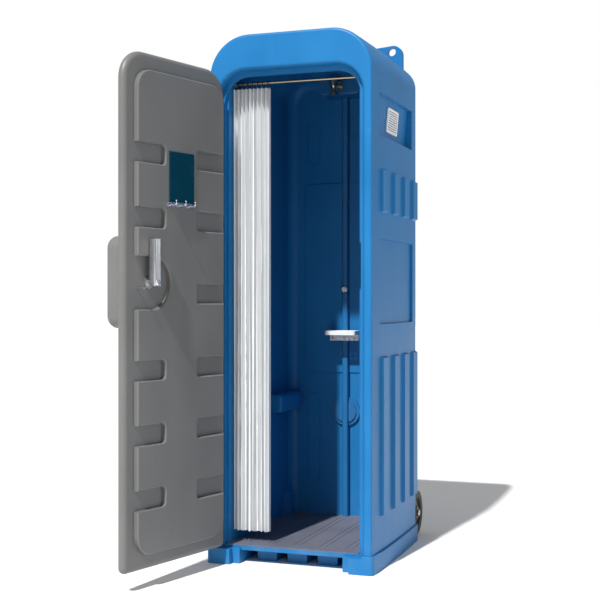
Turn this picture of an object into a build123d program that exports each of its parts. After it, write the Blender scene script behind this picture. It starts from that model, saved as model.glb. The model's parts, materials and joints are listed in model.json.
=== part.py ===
"""Portable moulded shower cubicle on rear wheels, with a hinged door.

Axes: +X to the right of a person who faces the door, +Y to the back, +Z up.
The origin lies on the ground at the centre of the cabin's footprint.  The door
stands open at rest.  Sizes are in millimetres.
"""
import math
import os

from build123d import *

os.makedirs("parts", exist_ok=True)

# ---- cabin -----------------------------------------------------------------
WIDTH = 736.0            # across the front corners
DEPTH = 880.0
HEIGHT = 2300.0          # ground to the top of the roof
BULGE = 8.0              # outward bow of each side in plan
ARCH_RADIUS = 180.0      # where the sides turn into the roof
REAR_RADIUS = 150.0      # rear corners in plan
ROOF_REAR_RADIUS = 145.0
ROOF_OVERHANG = 1.0      # how far this curve starts behind the back
SIDE_WALL = 68.0
REAR_WALL = 37.0
CAVITY_CORNER = 45.0     # rear corners of the room inside
CORNER_LENGTH = 180.0    # rear corner posts, front to back
CORNER_WIDTH = 138.0     # rear corner posts, across

# ---- base ------------------------------------------------------------------
SKIRT_TOP = 77.0
SKIRT_LIP = 10.0         # how far the skirt stands out around the walls
SKIRT_CHAMFER = 3.0
SKIRT_FRONT_RADIUS = 20.0
FOOT_WIDTH = 98.0        # front feet, in from the sides
STEP_WIDTH = 35.0        # step beside each foot
STEP_SETBACK = 22.0
SILL_GAP = 8.0           # under the shut door
SILL_ROUND = 3.0
DECK_BOTTOM = 56.0
TRAY_THICKNESS = 3.0
RUNNER_WIDTH = 85.0
RUNNER_PITCH = 140.0
RUNNER_SETBACK = 115.0
RUNNER_FLARE = 8.0       # the runners widen upwards
GROOVE_PITCH = 118.0     # pairs of fine grooves in the floor tray
GROOVE_PAIR = 27.0
GROOVE_WIDTH = 3.0
GROOVE_DEPTH = 1.4
GROOVE_MARGINS = (70.0, 60.0)
DRAIN_RADIUS = 24.0
DRAIN_X = -59.0          # between two pairs of grooves
DRAIN_SETBACK = 30.0
DRAIN_PLATE = 2.4
DRAIN_HOLES = ((14.0, 8, 3.0), (6.0, 4, 2.0))    # circle radius, count, hole radius

# ---- front frame and door opening -------------------------------------------
FRAME_THICKNESS = 58.0
JAMB_WIDTH = 40.0        # front face beside the rebate
HEADER_HEIGHT = 154.0    # front face above the rebate
REBATE_RADIUS = 124.0
REBATE_DEPTH = 38.0
STOP_WIDTH = 17.0        # how far the stop flange stands inside the rebate
STOP_TOP_EXTRA = 5.0     # more of it at the top
BEAD_OUTER = 12.0
BEAD_INNER = 16.0
OVERCUT = 40.0           # how far a cutting shape runs past what it cuts

# ---- door --------------------------------------------------------------------
DOOR_THICKNESS = 40.0
DOOR_SIDE_GAP = 6.0
DOOR_BOTTOM = 75.0
DOOR_TOP_GAP = 8.0
DOOR_OPEN = 104.5        # degrees open at rest
LINER_RISE = 20.0        # raised inner panel
LINER_MARGINS = (32.0, 60.0, 60.0, 72.0)   # at the hinge, free edge, bottom and top
LINER_RADIUS = 80.0
LINER_CHAMFER = 5.0
LEAF_RADIUS = 24.0           # bottom corners of the leaf
NOTCH_HEIGHT = 80.0
NOTCH_RADIUS = 16.0
NOTCH_FREE_REACH = 166.0     # length of the free-edge notches
NOTCH_HINGE_REACH = 184.0    # length of the hinge-side notches
NOTCH_LEVELS = (356.0, 612.0, 868.0, 1174.0, 1478.0, 1735.0)
LATCH_LEVEL = 1218.0
LATCH_INSET = 82.0           # pivot, in from the liner's free edge
LATCH_POCKET_RADIUS = 106.0
LATCH_POCKET_REACH = 93.0
MIRROR_X = -2.0
MIRROR_LEVELS = (1546.0, 1754.0)
MIRROR_WIDTH = 156.0
MIRROR_THICKNESS = 5.0
MIRROR_CHAMFER = 1.0
LEDGE_PLATE = 3.0            # strip and ledge under the mirror
LEDGE_HEIGHT = 18.0
LEDGE_DEPTH = 16.0
LEDGE_EXTRA = 14.0           # strip longer than the mirror at its free end
HOOK_REACH = 30.0
HOOK_WIRE = 5.0
HOOK_PITCH = 60.0
HOOK_SHIFT = 4.0
HOOK_DROP = 14.0             # hook's foot below the mirror
HOOK_TIP = 10.0              # its tip above the mirror's bottom
GRIP_RISE = 84.0
GRIP_WIDTH = 124.0
GRIP_INSET = 22.0
GRIP_RADIUS = 50.0
GRIP_ROUND = 30.0
GRIP_LEVELS = (1036.0, 1404.0)

# ---- hinges --------------------------------------------------------------------
PIN_INSET = 5.0          # pin axis in from the rebate's side
PIN_SETBACK = 6.0        # pin axis behind the front plane
PIN_RADIUS = 4.0
KNUCKLE_RADIUS = 8.0
KNUCKLE_CLEAR = 2.0
HINGE_LEVELS = (330.0, 1100.0, 1850.0)
HINGE_HEIGHT = 90.0
HINGE_TONGUE = 5.0
HINGE_SLACK = 6.0        # pocket longer than the hinge
BRACKET_LENGTH = 24.0
STRAP_LENGTH = 40.0
STRAP_GAP = 1.0          # above and below each strap
RUNNING_GAP = 0.3
SHAFT_GAP = 0.08          # radial clearance of a turning bore on its pin

# ---- latch ---------------------------------------------------------------------
BAR_WIDTH = 36.0
BAR_THICKNESS = 28.0
BAR_REACH = 174.0        # pivot to the bar's tip
BAR_TAIL = 14.0
POST_RADIUS = 9.0
POST_PLATE_RADIUS = 24.0
POST_PLATE = 6.0
POST_COLLAR = 5.0        # collar's step around the post
CAP_STEP = 4.0           # cap's step around the post
CAP_THICKNESS = 6.0
CAP_ROUND = 5.0
BAR_EDGE = 5.0
BAR_BACK_GAP = 3.0       # bar clear of the frame it swings behind
STOP_PIN_RADIUS = 4.0
STOP_PIN_OFFSET = 66.0   # beside the pivot
STOP_PIN_SHORT = 12.0    # shorter than the bar's outer face
KEEPER_CLEAR = 5.0

# ---- wheels --------------------------------------------------------------------
WHEEL_RADIUS = 107.0
WHEEL_WIDTH = 50.0
WHEEL_INSET = 68.0       # inner side of the wheel, in from the side
TYRE_ROUND = 12.0
RIM_SETBACK = 7.0        # rim narrower than the tyre on each face
RIM_LIP = 6.0
DISH_FLOOR = 12.0        # depth of the hub's dish below the tyre's face
WHEEL_LIFT = 1.0         # tread above the ground while the base stands flat
WELL_CLEAR = 16.0
WELL_SIDE = 10.0         # wheel well wider than the wheel on its inner side
WELL_WIDTH = 150.0
WELL_SKIN = 4.0          # wall of the arch over each well
WELL_FLANGE = 8.0
AXLE_RADIUS = 10.0
HUB_RADIUS = 32.0
RIM_RADIUS = 74.0
AXLE_ROOT = 12.0         # axle starts this far inside the corner post
AXLE_PROUD = 3.0
CAP_LENGTH = 8.0
CAP_RIM = 6.0            # axle cap's step around the axle
CAP_EDGE = 3.0

# ---- interior ------------------------------------------------------------------
RISER_WIDTH = 30.0
RISER_DEPTH = 30.0
RISER_ROUND = 9.0
PANEL_HALF = 217.0
PANEL_LEVELS = (787.0, 1727.0)
PANEL_RISE = 5.0
PANEL_RADIUS = 25.0
PANEL_CHAMFER = 2.0
LOOP_LEVELS = ((230.0, 687.0), (1826.0, 2030.0))   # grooved loops of the rear wall
LOOP_WIDTH = 71.0
LOOP_GROOVE = 6.0
LOOP_INNER = 136.0
LOOP_DEPTH = 4.0
LOOP_RADII = (14.0, 9.0)
BOSS_LEVEL = 597.0
BOSS_RADIUS = 70.0
BOSS_STEP = 17.0
BOSS_BASE = 12.0
BOSS_RISE = 8.0
BUTTON_LEVEL = 1200.0
BUTTON_RADIUS = 12.5
BUTTON_TRAVEL = 6.0
BUTTON_SLACK = 1.0       # bore around the button's face size
BUTTON_PROUD = 3.0       # what stands out when it is pressed
BUTTON_ROOT = 10.0
BUTTON_ROUND = 3.0
BUTTON_BORE_DEPTH = 22.0
BEZEL_WIDTH = 6.0
BEZEL_THICKNESS = 4.0
DISH_LEVEL = 977.0
DISH_WIDTH = 156.0
DISH_DEPTH = 88.0
DISH_HEIGHT = 21.0
DISH_WALL = 3.0
DISH_ROUND = 14.0
DISH_GRID = (24.0, 20.0, 4, 3)    # pitch and count of its drain holes
DISH_HOLE = 3.0
STRIP_HALF = 74.0
STRIP_THICKNESS = 6.0
STRIP_HEIGHT = 30.0
LEG_X = 60.0             # legs and screws of the strip
LEG_HALF = 7.0
SCREW_RADIUS = 2.6
SCREW_HEAD_RADIUS = 5.0
SCREW_LENGTH = 4.0
SCREW_HEAD = 2.5
HOUSING_HALF = 108.0
HOUSING_HEIGHT = 88.0
HOUSING_CHAMFER = 24.0
HOUSING_ROUND = 14.0
HOUSING_DEPTH = 123.0
ARM_RADIUS = 11.0
ARM_LENGTH = 90.0
ARM_DROP = 44.0          # arm below the ceiling
ARM_FLANGE = 10.0
ARM_FLANGE_THICKNESS = 6.0
SOCKET_WALL = 6.0
SOCKET_HEIGHT = 30.0
BALL_DROP = 15.0         # ball centre below the arm
NECK_RADIUS = 8.0
ROSE_RADIUS = 20.0
ROSE_DROPS = (22.0, 36.0, 54.0, 61.0)    # neck top, neck foot, rim top and face, below the arm
ROSE_HOLES = ((15.0, 10), (8.0, 6))
ROSE_HOLE = 1.5
ROSE_HOLE_DEPTH = 3.0
BALL_RADIUS = 16.0
ROD_RADIUS = 6.0
ROD_DROP = 16.0          # rod below the head of the opening
ROD_END_GAP = 4.0
ROD_FLANGE = 6.0
ROD_FLANGE_THICKNESS = 4.0
ROD_COLLAR = 4.0
ROD_COLLAR_LENGTH = 8.0
ROD_SETBACK = 130.0      # rod behind the front plane
RING_COUNT = 7
RING_RADIUS = 15.0
RING_WIRE = 1.8
CURTAIN_SIDE_GAP = 4.0
CURTAIN_WIDTH = 168.0    # gathered
CURTAIN_BOTTOM = 120.0
CURTAIN_THICKNESS = 60.0
CURTAIN_ROUND = 20.0
RING_MARGIN = 12.0       # end rings in from the curtain's ends
SHELF_WIDTH = 82.0
SHELF_LEVELS = (610.0, 697.0)
SHELF_LENGTH = 338.0
SHELF_ROUND = 20.0
SHELF_NOSE = 12.0
ARCH_BUMP_WIDTH = 38.0
ARCH_BUMP_LENGTH = 103.0
ARCH_BUMP_TOP = 195.0
ARCH_BUMP_ROUND = 18.0

# ---- outside of the side walls ---------------------------------------------------
RIB_WIDTH = 98.0
RIB_PITCH = 174.0
RIB_FIRST = 126.0        # first rib behind the front plane
RIB_RISE = 13.0
RIB_COUNT = 4
RIB_ROOT = 20.0          # ribs start this deep inside the wall
RIB_FLARE = 9.0          # foot wider than the rib
UPPER_RIBS = (1520.0, 1715.0)
LOWER_RIBS = (220.0, 911.0)
RECESS_SPAN = (115.0, 685.0)
RECESS_LEVELS = (1045.0, 1411.0)
RECESS_DEPTH = 11.0
RECESS_RADIUS = 12.0
VENT_SPAN = (108.0, 668.0)
VENT_LEVELS = (1853.0, 2035.0)
VENT_DEPTH_TOP = 14.0
VENT_DEPTH_BOTTOM = 30.0
GRILLE_SPAN = (314.0, 488.0)
GRILLE_LEVELS = (1893.0, 2003.0)
GRILLE_THICKNESS = 8.0
GRILLE_RADIUS = 8.0
GRILLE_CHAMFER = 2.0
SLOT_COUNT = 9
SLOT_HEIGHT = 4.5
SLOT_MARGINS = (24.0, 20.0)      # frame left around the slots, both sides together

# ---- lifting lugs --------------------------------------------------------------
LUG_Y = 675.0            # behind the front plane
LUG_THICKNESS = 28.0
LUG_INSET = 38.0         # outer edge, in from the side
LUG_RISE = 50.0          # above the roof
LUG_RADIUS = 45.0
LUG_TOP_WIDTH = 88.0     # from the corner's end to the top of the slope
LUG_SLOPE = (8.0, 55.0)  # drop of the top, and run of the slope
LUG_ROOT = 6.0
LUG_FOOT = 120.0         # reach of its foot into the roof
LUG_EYE_INSET = 51.0     # eye, in from the outer edge
LUG_EYE_DROP = 29.0      # eye below the top
LUG_EYE_RADIUS = 19.0

# ---- derived -------------------------------------------------------------------
FRONT = -DEPTH / 2
BACK = DEPTH / 2
HALF = WIDTH / 2
CAVITY_HALF = HALF - SIDE_WALL
CAVITY_BACK = BACK - REAR_WALL
WALL_FRONT = FRONT + FRAME_THICKNESS
CORNER_FRONT = BACK - CORNER_LENGTH
CORNER_INNER = HALF - CORNER_WIDTH
SPRING = HEIGHT - ARCH_RADIUS
CEILING = HEIGHT - SIDE_WALL
FLOOR_TOP = SKIRT_TOP + TRAY_THICKNESS
FOOT_INNER = HALF - FOOT_WIDTH
STEP_INNER = FOOT_INNER - STEP_WIDTH
REBATE_HALF = HALF - JAMB_WIDTH
REBATE_TOP = HEIGHT - HEADER_HEIGHT
STOP_HALF = REBATE_HALF - STOP_WIDTH
STOP_TOP = REBATE_TOP - STOP_WIDTH - STOP_TOP_EXTRA
STOP_FACE = FRONT + REBATE_DEPTH
DOOR_HALF = REBATE_HALF - DOOR_SIDE_GAP
DOOR_TOP = REBATE_TOP - DOOR_TOP_GAP
DOOR_OUTER = STOP_FACE - DOOR_THICKNESS
LINER_LEFT = -DOOR_HALF + LINER_MARGINS[0]
LINER_RIGHT = DOOR_HALF - LINER_MARGINS[1]
LINER_BOTTOM = DOOR_BOTTOM + LINER_MARGINS[2]
LINER_TOP = DOOR_TOP - LINER_MARGINS[3]
LATCH_X = LINER_RIGHT - LATCH_INSET
GRIP_SPAN = (DOOR_HALF - GRIP_INSET - GRIP_WIDTH, DOOR_HALF - GRIP_INSET)
LINER_FACE = STOP_FACE + LINER_RISE
PIN_X = -(REBATE_HALF - PIN_INSET)
PIN_Y = FRONT + PIN_SETBACK
KNUCKLE_HEIGHT = HINGE_HEIGHT / 3
TONGUE_SPAN = (PIN_Y - HINGE_TONGUE / 2, PIN_Y + HINGE_TONGUE / 2)
WHEEL_Y = BACK
WHEEL_INNER = HALF - WHEEL_INSET
WHEEL_Z = WHEEL_RADIUS + WHEEL_LIFT
WELL_RADIUS = WHEEL_RADIUS + WELL_CLEAR
PANEL_FACE = CAVITY_BACK - PANEL_RISE
RISER_FACE = PANEL_FACE - RISER_DEPTH
HOUSING_FRONT = CAVITY_BACK - HOUSING_DEPTH
HOUSING_BOTTOM = CEILING - HOUSING_HEIGHT
ARM_LEVEL = CEILING - ARM_DROP
ROD_Y = FRONT + ROD_SETBACK
ROD_LEVEL = STOP_TOP - ROD_DROP
RING_DROP = RING_RADIUS - RING_WIRE - ROD_RADIUS - RUNNING_GAP
CURTAIN_SPAN = (-CAVITY_HALF + CURTAIN_SIDE_GAP, -CAVITY_HALF + CURTAIN_SIDE_GAP + CURTAIN_WIDTH)
CURTAIN_TOP = ROD_LEVEL - RING_DROP - RING_RADIUS - RING_WIRE - RUNNING_GAP
LUG_OUTER = HALF - LUG_INSET
LUG_TOP = HEIGHT + LUG_RISE
LUG_EYE = (LUG_OUTER - LUG_EYE_INSET, LUG_TOP - LUG_EYE_DROP)
BAR_FACE = WALL_FRONT + BAR_BACK_GAP
BAR_SPAN = (BAR_FACE, BAR_FACE + BAR_THICKNESS)


def span_box(x_span, y_span, z_span, mode=Mode.ADD):
    """Place a box given by its two limits on each axis."""
    spans = (x_span, y_span, z_span)
    centre = tuple((low + high) / 2 for low, high in spans)
    size = tuple(high - low for low, high in spans)
    with Locations(centre):
        Box(*size, mode=mode)


def mirrored(side, low, high):
    """Return the limits of a span on the right (side 1) or left (side -1)."""
    return tuple(sorted((side * low, side * high)))


def plan_outline(rear_radius, grow=0.0, front_radius=0.0):
    """Return the cabin's plan: bowed sides and rounded corners."""
    half = HALF + grow
    front = FRONT - grow
    back = BACK + grow
    with BuildSketch() as outline:
        with BuildLine():
            Line((-half, front), (half, front))
            ThreePointArc((half, front), (half + BULGE, 0), (half, back))
            Line((half, back), (-half, back))
            ThreePointArc((-half, back), (-half - BULGE, 0), (-half, front))
        make_face()
        if rear_radius > 0:
            fillet(outline.vertices().group_by(Axis.Y)[-1], rear_radius)
        if front_radius > 0:
            fillet(outline.vertices().group_by(Axis.Y)[0], front_radius)
    return outline.sketch


def rounded_opening(half, bottom, top, radius):
    """Return a flat outline with two round top corners, for an upright plane."""
    middle = (bottom + top) / 2
    with BuildSketch() as outline:
        with Locations((0, middle)):
            Rectangle(2 * half, top - bottom)
        fillet(outline.vertices().group_by(Axis.Y)[-1], radius)
    return outline.sketch


def finish(piece, name):
    """Name a finished piece and write its file."""
    piece.part.label = name
    export_step(piece.part, f"parts/{name}.step")


# ---- shapes that several pieces share ----------------------------------------------
with BuildPart() as envelope:
    with BuildSketch(Plane.XY.offset(SKIRT_TOP)):
        add(plan_outline(0))
    extrude(amount=HEIGHT - SKIRT_TOP)
    crown = envelope.edges().group_by(Axis.Z)[-1].sort_by(Axis.X)
    fillet((crown[0], crown[-1]), ARCH_RADIUS)
    with BuildSketch(Plane.XY.offset(SKIRT_TOP)):
        add(plan_outline(REAR_RADIUS))
    extrude(amount=HEIGHT - SKIRT_TOP, mode=Mode.INTERSECT)
    with BuildSketch(Plane.YZ) as side_profile:
        with Locations((ROOF_OVERHANG / 2, (SKIRT_TOP + HEIGHT) / 2)):
            Rectangle(DEPTH + ROOF_OVERHANG, HEIGHT - SKIRT_TOP)
        fillet(side_profile.vertices().group_by(Axis.X)[-1].sort_by(Axis.Y)[-1], ROOF_REAR_RADIUS)
    extrude(amount=WIDTH, both=True, mode=Mode.INTERSECT)

with BuildPart() as cavity:
    with BuildSketch(Plane.XZ.offset(-CAVITY_BACK)):
        add(rounded_opening(CAVITY_HALF, SKIRT_TOP, CEILING, ARCH_RADIUS - SIDE_WALL))
    extrude(amount=CAVITY_BACK - FRONT)
    upright = cavity.edges().filter_by(Axis.Z).group_by(Axis.Y)[-1]
    fillet(upright, CAVITY_CORNER)

with BuildPart() as wheel_wells:
    with Locations(*[(side * (WHEEL_INNER - WELL_SIDE + WELL_WIDTH / 2), WHEEL_Y, WHEEL_Z) for side in (-1, 1)]):
        Cylinder(WELL_RADIUS, WELL_WIDTH, rotation=(0, 90, 0))


# ---- base ------------------------------------------------------------------------
for side, name in ((-1, "skirt_left"), (1, "skirt_right")):
    with BuildPart() as skirt:
        with BuildSketch():
            add(plan_outline(REAR_RADIUS + SKIRT_LIP, SKIRT_LIP, SKIRT_FRONT_RADIUS))
        extrude(amount=SKIRT_TOP)
        chamfer(skirt.edges().group_by(Axis.Z)[-1], SKIRT_CHAMFER)
        span_box(mirrored(side, STEP_INNER, WIDTH), (-DEPTH, DEPTH), (0, SKIRT_TOP), Mode.INTERSECT)
        span_box(mirrored(side, 0, FOOT_INNER), (-DEPTH, FRONT + STEP_SETBACK), (0, SKIRT_TOP), Mode.SUBTRACT)
        span_box((-REBATE_HALF, REBATE_HALF), (-DEPTH, STOP_FACE), (DOOR_BOTTOM - SILL_GAP, SKIRT_TOP), Mode.SUBTRACT)
        add(wheel_wells.part, mode=Mode.SUBTRACT)
    finish(skirt, name)

with BuildPart() as floor_deck:
    span_box((-STEP_INNER, STEP_INNER), (STOP_FACE, BACK), (DECK_BOTTOM, SKIRT_TOP))
    fillet(floor_deck.edges().filter_by(Axis.X).group_by(Axis.Y)[0], SILL_ROUND)
finish(floor_deck, "floor_deck")

with BuildPart() as runners:
    for step in (-1, 0, 1):
        with BuildSketch(Plane.XY.offset(DECK_BOTTOM)):
            with Locations((step * RUNNER_PITCH, 0)):
                Rectangle(RUNNER_WIDTH + RUNNER_FLARE, DEPTH - 2 * (RUNNER_SETBACK - RUNNER_FLARE))
        with BuildSketch():
            with Locations((step * RUNNER_PITCH, 0)):
                Rectangle(RUNNER_WIDTH, DEPTH - 2 * RUNNER_SETBACK)
        loft()
finish(runners, "floor_runners")

with BuildPart() as floor_tray:
    span_box((-CAVITY_HALF, CAVITY_HALF), (STOP_FACE, CAVITY_BACK), (SKIRT_TOP, FLOOR_TOP))
    fillet(floor_tray.edges().filter_by(Axis.Z).group_by(Axis.Y)[-1], CAVITY_CORNER)
    for row in (-2, -1, 0, 1, 2):
        for edge in (-1, 1):
            x = row * GROOVE_PITCH + edge * GROOVE_PAIR / 2
            groove = (x - GROOVE_WIDTH / 2, x + GROOVE_WIDTH / 2)
            length = (STOP_FACE + GROOVE_MARGINS[0], CAVITY_BACK - GROOVE_MARGINS[1])
            span_box(groove, length, (FLOOR_TOP - GROOVE_DEPTH, FLOOR_TOP), Mode.SUBTRACT)
    with Locations((DRAIN_X, CAVITY_BACK - DRAIN_SETBACK, FLOOR_TOP)):
        Hole(DRAIN_RADIUS)
    add(wheel_wells.part, mode=Mode.SUBTRACT)
finish(floor_tray, "floor_tray")

with BuildPart() as floor_drain:
    with Locations((DRAIN_X, CAVITY_BACK - DRAIN_SETBACK, SKIRT_TOP + DRAIN_PLATE / 2)):
        Cylinder(DRAIN_RADIUS, DRAIN_PLATE)
    with Locations((DRAIN_X, CAVITY_BACK - DRAIN_SETBACK, SKIRT_TOP + DRAIN_PLATE)):
        for circle, count, hole in DRAIN_HOLES:
            with PolarLocations(circle, count):
                Hole(hole)
finish(floor_drain, "floor_drain")


# ---- front frame -------------------------------------------------------------------
with BuildPart() as front_frame:
    add(envelope.part)
    span_box((-WIDTH, WIDTH), (FRONT, WALL_FRONT), (SKIRT_TOP, HEIGHT), Mode.INTERSECT)
    with BuildSketch(Plane.XZ.offset(-STOP_FACE)):
        add(rounded_opening(REBATE_HALF, SKIRT_TOP - OVERCUT, REBATE_TOP, REBATE_RADIUS))
    extrude(amount=REBATE_DEPTH, mode=Mode.SUBTRACT)
    with BuildSketch(Plane.XZ.offset(-WALL_FRONT)):
        add(rounded_opening(STOP_HALF, SKIRT_TOP - OVERCUT, STOP_TOP, REBATE_RADIUS - STOP_WIDTH))
    extrude(amount=FRAME_THICKNESS, mode=Mode.SUBTRACT)
    face = front_frame.faces().filter_by(Axis.Y).sort_by(Axis.Y)[0]
    bead_edges = [e for e in face.edges() if e.center().Z > SKIRT_TOP + 1]
    inner = [e for e in bead_edges if abs(e.center().X) < REBATE_HALF + 1 and e.center().Z < REBATE_TOP + 1]
    outer = [e for e in bead_edges if e not in inner]
    fillet(outer, BEAD_OUTER)
    face = front_frame.faces().filter_by(Axis.Y).sort_by(Axis.Y)[0]
    bead_edges = [e for e in face.edges() if e.center().Z > SKIRT_TOP + 1]
    inner = [e for e in bead_edges if abs(e.center().X) < REBATE_HALF + 1 and e.center().Z < REBATE_TOP + 1]
    fillet(inner, BEAD_INNER)
    for level in HINGE_LEVELS:
        with Locations((PIN_X, PIN_Y, level)):
            Cylinder(KNUCKLE_RADIUS + KNUCKLE_CLEAR, HINGE_HEIGHT + HINGE_SLACK, mode=Mode.SUBTRACT)
        for end in (-1, 1):
            middle = level + end * KNUCKLE_HEIGHT
            span_box(
                (PIN_X - BRACKET_LENGTH, PIN_X),
                TONGUE_SPAN,
                (middle - KNUCKLE_HEIGHT / 2, middle + KNUCKLE_HEIGHT / 2),
                Mode.SUBTRACT,
            )
finish(front_frame, "front_frame")


# ---- walls, corner posts and roof ------------------------------------------------------
with BuildPart() as recess_bed:
    with BuildSketch():
        add(plan_outline(0, -RECESS_DEPTH))
    extrude(amount=HEIGHT)

with BuildPart() as keeper_pocket:
    span_box(
        (STOP_HALF - OVERCUT, LATCH_X + BAR_REACH + KEEPER_CLEAR),
        (WALL_FRONT, BAR_SPAN[1] + KEEPER_CLEAR),
        (LATCH_LEVEL - BAR_WIDTH / 2 - KEEPER_CLEAR, LATCH_LEVEL + BAR_REACH),
    )


def rib_block(side, y_low, levels):
    """Return one raised rib of a side wall, sloped on all four edges."""
    low, high = levels
    y_high = y_low + RIB_WIDTH
    bow = BULGE * (1 - ((y_low + y_high) / DEPTH) ** 2)
    foot = HALF - RIB_ROOT
    crest = HALF + bow + RIB_RISE
    slope = (RIB_RISE + RIB_ROOT) / 3
    with BuildPart() as rib:
        with BuildSketch():
            with BuildLine():
                Polyline(
                    (side * foot, y_low - RIB_FLARE),
                    (side * crest, y_low + slope),
                    (side * crest, y_high - slope),
                    (side * foot, y_high + RIB_FLARE),
                    close=True,
                )
            make_face()
        extrude(amount=HEIGHT)
        with BuildSketch(Plane.XZ.offset(-y_high - RIB_FLARE - 1)):
            with BuildLine():
                Polyline(
                    (side * foot, low - RIB_FLARE),
                    (side * crest, low + slope),
                    (side * crest, high - slope),
                    (side * foot, high + RIB_FLARE),
                    close=True,
                )
            make_face()
        extrude(amount=RIB_WIDTH + 2 * RIB_FLARE + 2, mode=Mode.INTERSECT)
    return rib.part


def recess_block(side):
    """Return the shallow panel recess of a side wall."""
    with BuildPart() as recess:
        span_box(
            mirrored(side, HALF - OVERCUT, WIDTH),
            (FRONT + RECESS_SPAN[0], FRONT + RECESS_SPAN[1]),
            RECESS_LEVELS,
        )
        fillet(recess.edges().filter_by(Axis.X), RECESS_RADIUS)
        add(recess_bed.part, mode=Mode.SUBTRACT)
    return recess.part


def vent_block(side):
    """Return the vent recess, deeper at its bottom than at its top."""
    low, high = VENT_LEVELS
    with BuildPart() as recess:
        with BuildSketch(Plane.XZ.offset(-(FRONT + VENT_SPAN[1]))):
            with BuildLine():
                Polyline(
                    (side * (HALF - VENT_DEPTH_BOTTOM), low),
                    (side * (HALF + OVERCUT), low),
                    (side * (HALF + OVERCUT), high),
                    (side * (HALF - VENT_DEPTH_TOP), high),
                    close=True,
                )
            make_face()
        extrude(amount=VENT_SPAN[1] - VENT_SPAN[0])
    return recess.part


def vent_plane(side):
    """Return the plane of the vent recess's back: X along Y, normal outwards."""
    lean = math.atan2(VENT_DEPTH_BOTTOM - VENT_DEPTH_TOP, VENT_LEVELS[1] - VENT_LEVELS[0])
    middle_depth = (VENT_DEPTH_BOTTOM + VENT_DEPTH_TOP) / 2
    level = sum(VENT_LEVELS) / 2
    span = sum(GRILLE_SPAN) / 2
    normal = (side * math.cos(lean), 0, -math.sin(lean))
    return Plane(origin=(side * (HALF - middle_depth), FRONT + span, level), x_dir=(0, 1, 0), z_dir=normal)


RIB_STARTS = [FRONT + RIB_FIRST + step * RIB_PITCH for step in range(RIB_COUNT)]

for side, name in ((-1, "side_wall_left"), (1, "side_wall_right")):
    with BuildPart() as wall:
        add(envelope.part)
        span_box(mirrored(side, 0, WIDTH), (WALL_FRONT, CORNER_FRONT), (SKIRT_TOP, SPRING), Mode.INTERSECT)
        add(cavity.part, mode=Mode.SUBTRACT)
        for start in RIB_STARTS:
            for levels in (UPPER_RIBS, LOWER_RIBS):
                add(rib_block(side, start, levels))
        span_box(mirrored(side, 0, 2 * WIDTH), (WALL_FRONT, CORNER_FRONT), (SKIRT_TOP, SPRING), Mode.INTERSECT)
        add(recess_block(side), mode=Mode.SUBTRACT)
        add(vent_block(side), mode=Mode.SUBTRACT)
        if side > 0:
            add(keeper_pocket.part, mode=Mode.SUBTRACT)
    finish(wall, name)

for side, name in ((-1, "corner_post_left"), (1, "corner_post_right")):
    with BuildPart() as post:
        add(envelope.part)
        span_box(mirrored(side, CORNER_INNER, WIDTH), (CORNER_FRONT, BACK), (SKIRT_TOP, SPRING), Mode.INTERSECT)
        add(cavity.part, mode=Mode.SUBTRACT)
        for levels in (UPPER_RIBS, LOWER_RIBS):
            tail = rib_block(side, RIB_STARTS[-1], levels)
            with BuildPart(mode=Mode.PRIVATE) as rib_tail:
                add(tail)
                span_box((-WIDTH, WIDTH), (CORNER_FRONT, BACK), (0, HEIGHT), Mode.INTERSECT)
            add(rib_tail.part)
        add(wheel_wells.part, mode=Mode.SUBTRACT)
        with Locations((side * CORNER_INNER, WHEEL_Y, WHEEL_Z)):
            Cylinder(AXLE_RADIUS, 4 * CORNER_WIDTH, rotation=(0, 90, 0), mode=Mode.SUBTRACT)
    finish(post, name)

with BuildPart() as rear_wall:
    add(envelope.part)
    span_box((-CORNER_INNER, CORNER_INNER), (CORNER_FRONT, BACK), (SKIRT_TOP, SPRING), Mode.INTERSECT)
    add(cavity.part, mode=Mode.SUBTRACT)
    for edge in (-1, 1):
        middle = edge * (LOOP_INNER + LOOP_WIDTH / 2)
        for low, high in LOOP_LEVELS:
            inner_height = high - low - 2 * LOOP_GROOVE
            with BuildSketch(Plane.XZ.offset(-CAVITY_BACK)):
                with Locations((middle, (low + high) / 2)):
                    RectangleRounded(LOOP_WIDTH, high - low, LOOP_RADII[0])
                    RectangleRounded(LOOP_WIDTH - 2 * LOOP_GROOVE, inner_height, LOOP_RADII[1], mode=Mode.SUBTRACT)
            extrude(amount=-LOOP_DEPTH, mode=Mode.SUBTRACT)
finish(rear_wall, "rear_wall")

with BuildPart() as roof:
    add(envelope.part)
    span_box((-WIDTH, WIDTH), (WALL_FRONT, BACK), (SPRING, HEIGHT), Mode.INTERSECT)
    add(cavity.part, mode=Mode.SUBTRACT)
finish(roof, "roof")

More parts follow.
